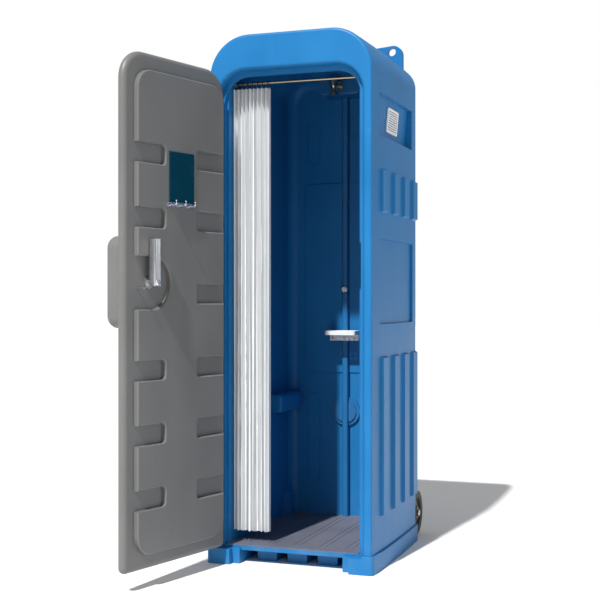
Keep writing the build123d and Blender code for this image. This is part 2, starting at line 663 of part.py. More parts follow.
for side, name in ((-1, "lifting_lug_left"), (1, "lifting_lug_right")):
    with BuildPart() as lug:
        y_back = FRONT + LUG_Y + LUG_THICKNESS / 2
        corner_x = LUG_OUTER - LUG_RADIUS
        slope_top = (side * (corner_x - LUG_TOP_WIDTH), LUG_TOP - LUG_SLOPE[0])
        slope_foot = (side * (corner_x - LUG_TOP_WIDTH - LUG_SLOPE[1]), HEIGHT - LUG_ROOT)
        with BuildSketch(Plane.XZ.offset(-y_back)):
            with BuildLine():
                Line((side * LUG_OUTER, HEIGHT - LUG_FOOT), (side * LUG_OUTER, LUG_TOP - LUG_RADIUS))
                RadiusArc(
                    (side * LUG_OUTER, LUG_TOP - LUG_RADIUS),
                    (side * corner_x, LUG_TOP),
                    -side * LUG_RADIUS,
                )
                Polyline(
                    (side * corner_x, LUG_TOP),
                    slope_top,
                    slope_foot,
                    (slope_foot[0], HEIGHT - LUG_FOOT),
                    (side * LUG_OUTER, HEIGHT - LUG_FOOT),
                )
            make_face()
        extrude(amount=LUG_THICKNESS)
        add(envelope.part, mode=Mode.SUBTRACT)
        with Locations((side * LUG_EYE[0], FRONT + LUG_Y, LUG_EYE[1])):
            Cylinder(LUG_EYE_RADIUS, 3 * LUG_THICKNESS, rotation=(90, 0, 0), mode=Mode.SUBTRACT)
    finish(lug, name)

for side, name in ((-1, "vent_grille_left"), (1, "vent_grille_right")):
    length = GRILLE_SPAN[1] - GRILLE_SPAN[0]
    height = GRILLE_LEVELS[1] - GRILLE_LEVELS[0]
    shift = sum(GRILLE_LEVELS) / 2 - sum(VENT_LEVELS) / 2
    with BuildPart() as grille:
        with BuildSketch(vent_plane(side)):
            with Locations((0, side * shift)):
                RectangleRounded(length, height, GRILLE_RADIUS)
        extrude(amount=GRILLE_THICKNESS)
        chamfer(grille.faces().sort_by(Axis.X)[-1 if side > 0 else 0].edges(), GRILLE_CHAMFER)
        with BuildSketch(vent_plane(side)):
            with Locations((0, side * shift)):
                with GridLocations(0, (height - SLOT_MARGINS[1]) / SLOT_COUNT, 1, SLOT_COUNT):
                    Rectangle(length - SLOT_MARGINS[0], SLOT_HEIGHT)
        extrude(amount=GRILLE_THICKNESS, mode=Mode.SUBTRACT)
    finish(grille, name)

# ---- fittings inside the cabin ----------------------------------------------------------
with BuildPart() as rear_panel:
    with BuildSketch(Plane.XZ.offset(-CAVITY_BACK)):
        with Locations((0, sum(PANEL_LEVELS) / 2)):
            RectangleRounded(2 * PANEL_HALF, PANEL_LEVELS[1] - PANEL_LEVELS[0], PANEL_RADIUS)
    extrude(amount=PANEL_RISE)
    chamfer(rear_panel.faces().sort_by(Axis.Y)[0].edges(), PANEL_CHAMFER)
finish(rear_panel, "rear_panel")

with BuildPart() as riser_cover:
    span_box(
        (-RISER_WIDTH / 2, RISER_WIDTH / 2),
        (RISER_FACE, CAVITY_BACK),
        (FLOOR_TOP, HOUSING_BOTTOM),
    )
    fillet(riser_cover.edges().filter_by(Axis.Z).group_by(Axis.Y)[0], RISER_ROUND)
    with Locations((0, RISER_FACE, BUTTON_LEVEL)):
        Cylinder(BUTTON_RADIUS + BUTTON_SLACK, 2 * BUTTON_BORE_DEPTH, rotation=(90, 0, 0), mode=Mode.SUBTRACT)
    with Locations((0, CAVITY_BACK - PANEL_RISE / 2, BOSS_LEVEL)):
        Cylinder(BOSS_RADIUS, PANEL_RISE, rotation=(90, 0, 0), mode=Mode.SUBTRACT)
    add(rear_panel.part, mode=Mode.SUBTRACT)
finish(riser_cover, "riser_cover")

with BuildPart() as inlet_boss:
    with Locations((0, CAVITY_BACK - BOSS_BASE / 2, BOSS_LEVEL)):
        Cylinder(BOSS_RADIUS, BOSS_BASE, rotation=(90, 0, 0))
    with Locations((0, CAVITY_BACK - BOSS_BASE - BOSS_RISE / 2, BOSS_LEVEL)):
        Cylinder(BOSS_RADIUS - BOSS_STEP, BOSS_RISE, rotation=(90, 0, 0))
    add(riser_cover.part, mode=Mode.SUBTRACT)
finish(inlet_boss, "inlet_boss")

with BuildPart() as button_bezel:
    with Locations((0, RISER_FACE - BEZEL_THICKNESS / 2, BUTTON_LEVEL)):
        Cylinder(BUTTON_RADIUS + BEZEL_WIDTH, BEZEL_THICKNESS, rotation=(90, 0, 0))
        Cylinder(BUTTON_RADIUS + BUTTON_SLACK, BEZEL_THICKNESS, rotation=(90, 0, 0), mode=Mode.SUBTRACT)
finish(button_bezel, "button_bezel")

BUTTON_FRONT = RISER_FACE - BEZEL_THICKNESS - BUTTON_TRAVEL - BUTTON_PROUD
BUTTON_REAR = RISER_FACE + BUTTON_ROOT
with BuildPart() as push_button:
    with Locations((0, (BUTTON_FRONT + BUTTON_REAR) / 2, BUTTON_LEVEL)):
        Cylinder(BUTTON_RADIUS + BUTTON_SLACK - RUNNING_GAP, BUTTON_REAR - BUTTON_FRONT, rotation=(90, 0, 0))
    fillet(push_button.edges().filter_by(GeomType.CIRCLE).sort_by(Axis.Y)[0], BUTTON_ROUND)
finish(push_button, "push_button")

STRIP_FRONT = RISER_FACE - STRIP_THICKNESS
STRIP_LEVEL = DISH_LEVEL - STRIP_HEIGHT / 2
with BuildPart() as dish_bracket:
    span_box((-STRIP_HALF, STRIP_HALF), (STRIP_FRONT, RISER_FACE), (DISH_LEVEL - STRIP_HEIGHT, DISH_LEVEL))
    for x in (-LEG_X, LEG_X):
        leg = (x - LEG_HALF, x + LEG_HALF)
        span_box(leg, (RISER_FACE, PANEL_FACE), (STRIP_LEVEL - LEG_HALF, STRIP_LEVEL + LEG_HALF))
    with Locations(*[(x, STRIP_FRONT + SCREW_LENGTH / 2, STRIP_LEVEL) for x in (-LEG_X, 0, LEG_X)]):
        Cylinder(SCREW_RADIUS, SCREW_LENGTH, rotation=(90, 0, 0), mode=Mode.SUBTRACT)
finish(dish_bracket, "dish_bracket")

with BuildPart() as dish_screws:
    with Locations(*[(x, STRIP_FRONT + SCREW_LENGTH / 2, STRIP_LEVEL) for x in (-LEG_X, 0, LEG_X)]):
        Cylinder(SCREW_RADIUS, SCREW_LENGTH, rotation=(90, 0, 0))
    with Locations(*[(x, STRIP_FRONT - SCREW_HEAD / 2, STRIP_LEVEL) for x in (-LEG_X, 0, LEG_X)]):
        Cylinder(SCREW_HEAD_RADIUS, SCREW_HEAD, rotation=(90, 0, 0))
finish(dish_screws, "dish_screws")

with BuildPart() as soap_dish:
    span_box(
        (-DISH_WIDTH / 2, DISH_WIDTH / 2),
        (RISER_FACE - DISH_DEPTH, RISER_FACE),
        (DISH_LEVEL, DISH_LEVEL + DISH_HEIGHT),
    )
    fillet(soap_dish.edges().filter_by(Axis.Z).group_by(Axis.Y)[0], DISH_ROUND)
    top = soap_dish.faces().sort_by(Axis.Z)[-1]
    offset(amount=-DISH_WALL, openings=top)
    with Locations((0, RISER_FACE - DISH_DEPTH / 2, DISH_LEVEL)):
        with GridLocations(*DISH_GRID):
            Cylinder(DISH_HOLE, 4 * DISH_WALL, mode=Mode.SUBTRACT)
finish(soap_dish, "soap_dish")

with BuildPart() as shower_housing:
    span_box((-HOUSING_HALF, HOUSING_HALF), (HOUSING_FRONT, CAVITY_BACK), (HOUSING_BOTTOM, CEILING))
    chamfer(shower_housing.edges().filter_by(Axis.Y).group_by(Axis.Z)[0], HOUSING_CHAMFER)
    fillet(shower_housing.edges().filter_by(Axis.X).group_by(Axis.Y)[0].sort_by(Axis.Z)[0], HOUSING_ROUND)
    add(cavity.part, mode=Mode.INTERSECT)
finish(shower_housing, "shower_housing")

ARM_END = HOUSING_FRONT - ARM_LENGTH
with BuildPart() as nozzle_socket:
    with Locations((0, (ARM_END + HOUSING_FRONT) / 2, ARM_LEVEL)):
        Cylinder(ARM_RADIUS, ARM_LENGTH, rotation=(90, 0, 0))
    with Locations((0, HOUSING_FRONT - ARM_FLANGE_THICKNESS / 2, ARM_LEVEL)):
        Cylinder(ARM_RADIUS + ARM_FLANGE, ARM_FLANGE_THICKNESS, rotation=(90, 0, 0))
    with Locations((0, ARM_END, ARM_LEVEL)):
        Cylinder(BALL_RADIUS + SOCKET_WALL, SOCKET_HEIGHT)
    with Locations((0, ARM_END, ARM_LEVEL - BALL_DROP)):
        Sphere(BALL_RADIUS + RUNNING_GAP, mode=Mode.SUBTRACT)
finish(nozzle_socket, "nozzle_socket")

with BuildPart() as shower_nozzle:
    with BuildSketch(Plane.XZ.offset(-ARM_END)):
        with BuildLine():
            Polyline(
                (0, ARM_LEVEL - ROSE_DROPS[0]),
                (NECK_RADIUS, ARM_LEVEL - ROSE_DROPS[0]),
                (NECK_RADIUS, ARM_LEVEL - ROSE_DROPS[1]),
                (ROSE_RADIUS, ARM_LEVEL - ROSE_DROPS[2]),
                (ROSE_RADIUS, ARM_LEVEL - ROSE_DROPS[3]),
                (0, ARM_LEVEL - ROSE_DROPS[3]),
                close=True,
            )
        make_face()
    revolve(axis=Axis((0, ARM_END, 0), (0, 0, 1)))
    with Locations((0, ARM_END, ARM_LEVEL - BALL_DROP)):
        Sphere(BALL_RADIUS)
    with Locations((0, ARM_END, ARM_LEVEL - ROSE_DROPS[3])):
        for circle, count in ROSE_HOLES:
            with PolarLocations(circle, count):
                Cylinder(ROSE_HOLE, 2 * ROSE_HOLE_DEPTH, mode=Mode.SUBTRACT)
finish(shower_nozzle, "shower_nozzle")

with BuildPart() as corner_shelf:
    span_box(
        (-CAVITY_HALF, -CAVITY_HALF + SHELF_WIDTH),
        (CAVITY_BACK - SHELF_LENGTH, CAVITY_BACK - CAVITY_CORNER),
        SHELF_LEVELS,
    )
    fillet(corner_shelf.edges().filter_by(Axis.Y).group_by(Axis.X)[-1], SHELF_ROUND)
    fillet(corner_shelf.faces().sort_by(Axis.Y)[0].edges().group_by(Axis.X)[-1], SHELF_NOSE)
finish(corner_shelf, "corner_shelf")

for side, name in ((-1, "wheel_arch_left"), (1, "wheel_arch_right")):
    with BuildPart() as arch:
        span_box(
            mirrored(side, CAVITY_HALF - ARCH_BUMP_WIDTH, CAVITY_HALF),
            (CAVITY_BACK - ARCH_BUMP_LENGTH, CAVITY_BACK - CAVITY_CORNER),
            (FLOOR_TOP, ARCH_BUMP_TOP),
        )
        crest = arch.edges().filter_by(Axis.Y).group_by(Axis.Z)[-1].sort_by(Axis.X)
        fillet(crest[0] if side > 0 else crest[-1], ARCH_BUMP_ROUND)
        face_x = WHEEL_INNER - WELL_SIDE - WELL_SKIN
        with BuildPart(mode=Mode.PRIVATE) as cover:
            with Locations((side * (face_x + CAVITY_HALF) / 2, WHEEL_Y, WHEEL_Z)):
                Cylinder(WELL_RADIUS + WELL_FLANGE, CAVITY_HALF - face_x, rotation=(0, 90, 0))
            span_box((-CAVITY_HALF, CAVITY_HALF), (CORNER_FRONT, BACK), (FLOOR_TOP, SPRING), Mode.INTERSECT)
            add(cavity.part, mode=Mode.INTERSECT)
        add(cover.part)
        add(wheel_wells.part, mode=Mode.SUBTRACT)
    finish(arch, name)

with BuildPart() as curtain_rod:
    with Locations((0, ROD_Y, ROD_LEVEL)):
        Cylinder(ROD_RADIUS, 2 * (CAVITY_HALF - ROD_END_GAP), rotation=(0, 90, 0))
finish(curtain_rod, "curtain_rod")

with BuildPart() as rod_brackets:
    with Locations(*[(side * (CAVITY_HALF - ROD_FLANGE_THICKNESS / 2), ROD_Y, ROD_LEVEL) for side in (-1, 1)]):
        Cylinder(ROD_RADIUS + ROD_FLANGE, ROD_FLANGE_THICKNESS, rotation=(0, 90, 0))
    collar_x = CAVITY_HALF - ROD_FLANGE_THICKNESS - ROD_COLLAR_LENGTH / 2
    with Locations(*[(side * collar_x, ROD_Y, ROD_LEVEL) for side in (-1, 1)]):
        Cylinder(ROD_RADIUS + ROD_COLLAR, ROD_COLLAR_LENGTH, rotation=(0, 90, 0))
    with Locations((0, ROD_Y, ROD_LEVEL)):
        Cylinder(ROD_RADIUS, 2 * (CAVITY_HALF - ROD_END_GAP), rotation=(0, 90, 0), mode=Mode.SUBTRACT)
finish(rod_brackets, "rod_brackets")

ring_pitch = (CURTAIN_WIDTH - 2 * RING_MARGIN) / (RING_COUNT - 1)
with BuildPart() as curtain_rings:
    for step in range(RING_COUNT):
        x = CURTAIN_SPAN[0] + RING_MARGIN + step * ring_pitch
        with Locations((x, ROD_Y, ROD_LEVEL - RING_DROP)):
            Torus(RING_RADIUS, RING_WIRE, rotation=(0, 90, 0))
finish(curtain_rings, "curtain_rings")

with BuildPart() as curtain:
    span_box(
        CURTAIN_SPAN,
        (ROD_Y - CURTAIN_THICKNESS / 2, ROD_Y + CURTAIN_THICKNESS / 2),
        (CURTAIN_BOTTOM, CURTAIN_TOP),
    )
    fillet(curtain.edges().filter_by(Axis.Z), CURTAIN_ROUND)
finish(curtain, "curtain")


# ---- door --------------------------------------------------------------------------
# The door's pieces are drawn shut, in the frame, and then swung open about the pins.
def swing_open(piece):
    """Turn a piece that is drawn shut to where it stands at rest."""
    return piece.part.rotate(Axis((PIN_X, PIN_Y, 0), (0, 0, 1)), -DOOR_OPEN)


def finish_open(piece, name):
    """Swing a door piece open, name it and write its file."""
    turned = swing_open(piece)
    turned.label = name
    export_step(turned, f"parts/{name}.step")


with BuildPart() as door_leaf:
    with BuildSketch(Plane.XZ.offset(-STOP_FACE)):
        add(rounded_opening(DOOR_HALF, DOOR_BOTTOM, DOOR_TOP, REBATE_RADIUS - DOOR_SIDE_GAP))
    extrude(amount=DOOR_THICKNESS)
    fillet(door_leaf.edges().filter_by(Axis.Y).group_by(Axis.Z)[0], LEAF_RADIUS)
    rims = door_leaf.faces().filter_by(Axis.Y)
    fillet([edge for rim in rims for edge in rim.edges()], DOOR_THICKNESS / 2 - 0.5)
    for level in HINGE_LEVELS:
        with Locations((PIN_X, PIN_Y, level)):
            Cylinder(KNUCKLE_RADIUS + KNUCKLE_CLEAR, HINGE_HEIGHT + HINGE_SLACK, mode=Mode.SUBTRACT)
        span_box(
            (PIN_X, PIN_X + STRAP_LENGTH),
            TONGUE_SPAN,
            (level - KNUCKLE_HEIGHT / 2 + STRAP_GAP, level + KNUCKLE_HEIGHT / 2 - STRAP_GAP),
            Mode.SUBTRACT,
        )
finish_open(door_leaf, "door_leaf")

with BuildPart() as door_liner:
    with BuildSketch(Plane.XZ.offset(-LINER_FACE)):
        with Locations(((LINER_LEFT + LINER_RIGHT) / 2, (LINER_BOTTOM + LINER_TOP) / 2)):
            RectangleRounded(LINER_RIGHT - LINER_LEFT, LINER_TOP - LINER_BOTTOM, LINER_RADIUS)
    extrude(amount=LINER_RISE)
    with BuildSketch(Plane.XZ.offset(-LINER_FACE)):
        for level in NOTCH_LEVELS:
            with Locations((LINER_LEFT, level)):
                RectangleRounded(2 * NOTCH_HINGE_REACH, NOTCH_HEIGHT, NOTCH_RADIUS)
            if abs(level - LATCH_LEVEL) > LATCH_POCKET_RADIUS:
                with Locations((LINER_RIGHT, level)):
                    RectangleRounded(2 * NOTCH_FREE_REACH, NOTCH_HEIGHT, NOTCH_RADIUS)
        with Locations((LINER_RIGHT - LATCH_POCKET_REACH, LATCH_LEVEL)):
            Circle(LATCH_POCKET_RADIUS)
        with Locations((LINER_RIGHT, LATCH_LEVEL)):
            Rectangle(2 * LATCH_POCKET_REACH, 2 * LATCH_POCKET_RADIUS)
    extrude(amount=LINER_RISE, mode=Mode.SUBTRACT)
    crest = door_liner.faces().sort_by(Axis.Y)[-1]
    chamfer(crest.edges(), LINER_CHAMFER)
finish_open(door_liner, "door_liner")

with BuildPart() as door_grip:
    with BuildSketch(Plane.XZ.offset(-(DOOR_OUTER))):
        with Locations((sum(GRIP_SPAN) / 2, sum(GRIP_LEVELS) / 2)):
            RectangleRounded(GRIP_WIDTH, GRIP_LEVELS[1] - GRIP_LEVELS[0], GRIP_RADIUS)
    extrude(amount=GRIP_RISE)
    fillet(door_grip.faces().sort_by(Axis.Y)[0].edges(), GRIP_ROUND)
finish_open(door_grip, "door_grip")

with BuildPart() as mirror_glass:
    with BuildSketch(Plane.XZ.offset(-(LINER_FACE + MIRROR_THICKNESS))):
        with Locations((MIRROR_X, sum(MIRROR_LEVELS) / 2)):
            Rectangle(MIRROR_WIDTH, MIRROR_LEVELS[1] - MIRROR_LEVELS[0])
    extrude(amount=MIRROR_THICKNESS)
    chamfer(mirror_glass.faces().sort_by(Axis.Y)[-1].edges(), MIRROR_CHAMFER)
finish_open(mirror_glass, "mirror")

SHELF_TOP = MIRROR_LEVELS[0]
MIRROR_SIDES = (MIRROR_X - MIRROR_WIDTH / 2, MIRROR_X + MIRROR_WIDTH / 2)
with BuildPart() as mirror_shelf:
    span_box(
        (MIRROR_SIDES[0], MIRROR_SIDES[1] + LEDGE_EXTRA),
        (LINER_FACE, LINER_FACE + LEDGE_PLATE),
        (SHELF_TOP - LEDGE_HEIGHT, SHELF_TOP),
    )
    span_box(MIRROR_SIDES, (LINER_FACE, LINER_FACE + LEDGE_DEPTH), (SHELF_TOP - LEDGE_PLATE, SHELF_TOP))
finish_open(mirror_shelf, "mirror_shelf")

with BuildPart() as coat_hooks:
    hook_low = SHELF_TOP - HOOK_DROP
    hook_end = LINER_FACE + HOOK_REACH
    for step in (-1, 0, 1):
        x = MIRROR_X + HOOK_SHIFT + step * HOOK_PITCH
        wire = (x - HOOK_WIRE / 2, x + HOOK_WIRE / 2)
        span_box(wire, (LINER_FACE + LEDGE_PLATE, hook_end), (hook_low, hook_low + HOOK_WIRE))
        span_box(wire, (hook_end - HOOK_WIRE, hook_end), (hook_low + HOOK_WIRE, SHELF_TOP + HOOK_TIP))
finish_open(coat_hooks, "coat_hooks")

COLLAR_SPAN = (STOP_FACE + POST_PLATE, BAR_FACE - RUNNING_GAP)
with BuildPart() as latch_post:
    with Locations((LATCH_X, STOP_FACE + POST_PLATE / 2, LATCH_LEVEL)):
        Cylinder(POST_PLATE_RADIUS, POST_PLATE, rotation=(90, 0, 0))
    with Locations((LATCH_X, (STOP_FACE + BAR_SPAN[1]) / 2, LATCH_LEVEL)):
        Cylinder(POST_RADIUS, BAR_SPAN[1] - STOP_FACE, rotation=(90, 0, 0))
    with Locations((LATCH_X, sum(COLLAR_SPAN) / 2, LATCH_LEVEL)):
        Cylinder(POST_RADIUS + POST_COLLAR, COLLAR_SPAN[1] - COLLAR_SPAN[0], rotation=(90, 0, 0))
finish_open(latch_post, "latch_post")

with BuildPart() as latch_cap:
    with BuildSketch(Plane.XZ.offset(-(BAR_SPAN[1]))):
        with Locations((LATCH_X, LATCH_LEVEL)):
            Circle(POST_RADIUS + CAP_STEP)
    extrude(amount=-CAP_THICKNESS)
    fillet(latch_cap.faces().sort_by(Axis.Y)[-1].edges(), CAP_ROUND)
finish_open(latch_cap, "latch_cap")

STOP_PIN_END = BAR_SPAN[1] - STOP_PIN_SHORT
STOP_PIN_LEVEL = LATCH_LEVEL - BAR_WIDTH / 2 - STOP_PIN_RADIUS - RUNNING_GAP
with BuildPart() as stop_pin:
    with Locations((LATCH_X + STOP_PIN_OFFSET, (STOP_FACE + STOP_PIN_END) / 2, STOP_PIN_LEVEL)):
        Cylinder(STOP_PIN_RADIUS, STOP_PIN_END - STOP_FACE, rotation=(90, 0, 0))
finish_open(stop_pin, "stop_pin")

with BuildPart() as latch_bar:
    span_box(
        (LATCH_X - BAR_WIDTH / 2, LATCH_X + BAR_WIDTH / 2),
        (BAR_SPAN[0], BAR_SPAN[1] - RUNNING_GAP),
        (LATCH_LEVEL - BAR_TAIL, LATCH_LEVEL + BAR_REACH),
    )
    fillet(latch_bar.edges().filter_by(Axis.Z), BAR_EDGE)
    with Locations((LATCH_X, BAR_FACE, LATCH_LEVEL)):
        Cylinder(POST_RADIUS + SHAFT_GAP, 3 * BAR_THICKNESS, rotation=(90, 0, 0), mode=Mode.SUBTRACT)
finish_open(latch_bar, "latch_bar")


# ---- hinges -------------------------------------------------------------------------
with BuildPart() as hinge_brackets:
    for level in HINGE_LEVELS:
        for end in (-1, 1):
            middle = level + end * KNUCKLE_HEIGHT
            tongue = (middle - KNUCKLE_HEIGHT / 2, middle + KNUCKLE_HEIGHT / 2)
            span_box((PIN_X - BRACKET_LENGTH, PIN_X), TONGUE_SPAN, tongue)
            with Locations((PIN_X, PIN_Y, middle)):
                Cylinder(KNUCKLE_RADIUS, KNUCKLE_HEIGHT)
                Cylinder(PIN_RADIUS, KNUCKLE_HEIGHT, mode=Mode.SUBTRACT)
finish(hinge_brackets, "hinge_brackets")

with BuildPart() as hinge_pins:
    for level in HINGE_LEVELS:
        with Locations((PIN_X, PIN_Y, level)):
            Cylinder(PIN_RADIUS, HINGE_HEIGHT)
finish(hinge_pins, "hinge_pins")

with BuildPart() as hinge_straps:
    for level in HINGE_LEVELS:
        height = KNUCKLE_HEIGHT - 2 * STRAP_GAP
        span_box((PIN_X, PIN_X + STRAP_LENGTH), TONGUE_SPAN, (level - height / 2, level + height / 2))
        with Locations((PIN_X, PIN_Y, level)):
            Cylinder(KNUCKLE_RADIUS, height)
            Cylinder(PIN_RADIUS + SHAFT_GAP, height, mode=Mode.SUBTRACT)
finish_open(hinge_straps, "hinge_straps")


# ---- wheels -------------------------------------------------------------------------
for side, end in ((-1, "left"), (1, "right")):
    centre_x = side * (WHEEL_INNER + WHEEL_WIDTH / 2)
    with BuildPart() as tyre:
        with Locations((centre_x, WHEEL_Y, WHEEL_Z)):
            Cylinder(WHEEL_RADIUS, WHEEL_WIDTH, rotation=(0, 90, 0))
        fillet(tyre.edges().filter_by(GeomType.CIRCLE), TYRE_ROUND)
        with Locations((centre_x, WHEEL_Y, WHEEL_Z)):
            Cylinder(RIM_RADIUS, WHEEL_WIDTH, rotation=(0, 90, 0), mode=Mode.SUBTRACT)
    finish(tyre, f"tyre_{end}")

    with BuildPart() as hub:
        with Locations((centre_x, WHEEL_Y, WHEEL_Z)):
            Cylinder(RIM_RADIUS, WHEEL_WIDTH - 2 * RIM_SETBACK, rotation=(0, 90, 0))
            Cylinder(HUB_RADIUS, WHEEL_WIDTH, rotation=(0, 90, 0))
        for face_side in (-1, 1):
            dish_x = centre_x + face_side * (WHEEL_WIDTH - DISH_FLOOR) / 2
            with Locations((dish_x, WHEEL_Y, WHEEL_Z)):
                Cylinder(RIM_RADIUS - RIM_LIP, DISH_FLOOR, rotation=(0, 90, 0), mode=Mode.SUBTRACT)
        with Locations((centre_x, WHEEL_Y, WHEEL_Z)):
            Cylinder(HUB_RADIUS, WHEEL_WIDTH, rotation=(0, 90, 0))
            Cylinder(AXLE_RADIUS + SHAFT_GAP, WHEEL_WIDTH, rotation=(0, 90, 0), mode=Mode.SUBTRACT)
    finish(hub, f"wheel_hub_{end}")

AXLE_END = WHEEL_INNER + WHEEL_WIDTH + AXLE_PROUD
with BuildPart() as axles:
    for side in (-1, 1):
        low, high = CORNER_INNER + AXLE_ROOT, AXLE_END
        with Locations((side * (low + high) / 2, WHEEL_Y, WHEEL_Z)):
            Cylinder(AXLE_RADIUS, high - low, rotation=(0, 90, 0))
finish(axles, "wheel_axles")

with BuildPart() as axle_caps:
    for side in (-1, 1):
        with Locations((side * (AXLE_END + CAP_LENGTH / 2), WHEEL_Y, WHEEL_Z)):
            Cylinder(AXLE_RADIUS + CAP_RIM, CAP_LENGTH, rotation=(0, 90, 0))
    for end in (-1, 0):
        fillet(axle_caps.edges().filter_by(GeomType.CIRCLE).group_by(Axis.X)[end], CAP_EDGE)
finish(axle_caps, "axle_caps")
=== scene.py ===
"""Looks of a portable shower cubicle: moulded cabin, open door, curtain, fittings and wheels."""

import json
import logging
import math
from dataclasses import dataclass, field
from enum import Enum
from typing import Callable, Optional, Sequence, Union

import bpy
from mathutils import Euler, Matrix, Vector


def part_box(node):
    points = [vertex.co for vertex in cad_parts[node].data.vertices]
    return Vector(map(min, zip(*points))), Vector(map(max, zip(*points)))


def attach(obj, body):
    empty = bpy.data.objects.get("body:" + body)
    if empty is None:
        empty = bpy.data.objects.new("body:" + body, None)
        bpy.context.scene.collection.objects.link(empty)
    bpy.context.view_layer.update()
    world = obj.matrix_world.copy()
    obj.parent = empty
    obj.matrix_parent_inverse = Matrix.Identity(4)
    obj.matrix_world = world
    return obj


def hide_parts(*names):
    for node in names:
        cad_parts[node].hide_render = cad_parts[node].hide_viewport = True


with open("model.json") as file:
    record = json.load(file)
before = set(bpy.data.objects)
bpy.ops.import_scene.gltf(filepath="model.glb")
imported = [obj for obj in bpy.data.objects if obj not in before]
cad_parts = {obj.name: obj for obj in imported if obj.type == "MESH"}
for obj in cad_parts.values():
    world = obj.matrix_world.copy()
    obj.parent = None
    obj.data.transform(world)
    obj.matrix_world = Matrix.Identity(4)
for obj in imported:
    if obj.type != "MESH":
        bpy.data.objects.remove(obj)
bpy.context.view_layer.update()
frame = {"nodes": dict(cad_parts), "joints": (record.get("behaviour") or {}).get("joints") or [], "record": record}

LOG = logging.getLogger("shower_cubicle")
FLAT_FACE = 0.9          # cosine beyond which a face looks along the axis

Colour = tuple[float, float, float]


class Joins(Enum):
    """How two colours are mixed."""

    MIX = "MIX"
    MULTIPLY = "MULTIPLY"
    ADD = "ADD"
    OVERLAY = "OVERLAY"


# ---------------------------------------------------------------------------- shader maths
class Wire:
    """A socket of a node tree that can be used in arithmetic."""

    def __init__(self, bench: "MaterialBench", socket: bpy.types.NodeSocket) -> None:
        """Keep the socket and the bench that its nodes are added to."""
        self.bench = bench
        self.socket = socket

    def _math(self, operation: str, first: "Term", second: "Term" = 0.0) -> "Wire":
        """Add one Math node.

        Args:
            operation: The node's operation.
            first: The first value or link.
            second: The second value or link.

        Returns:
            The node's result.
        """
        return self.bench.node("ShaderNodeMath", {"operation": operation}, {0: first, 1: second})

    def __add__(self, other: "Term") -> "Wire":
        """Add."""
        return self._math("ADD", self, other)

    __radd__ = __add__

    def __sub__(self, other: "Term") -> "Wire":
        """Subtract."""
        return self._math("SUBTRACT", self, other)

    def __rsub__(self, other: "Term") -> "Wire":
        """Subtract this from a number."""
        return self._math("SUBTRACT", other, self)

    def __mul__(self, other: "Term") -> "Wire":
        """Multiply."""
        return self._math("MULTIPLY", self, other)

    __rmul__ = __mul__

    def clamped(self) -> "Wire":
        """Return the value held between 0 and 1."""
        return self.bench.node("ShaderNodeClamp", {}, {0: self, 1: 0.0, 2: 1.0})


Term = Union[Wire, float, Sequence[float]]


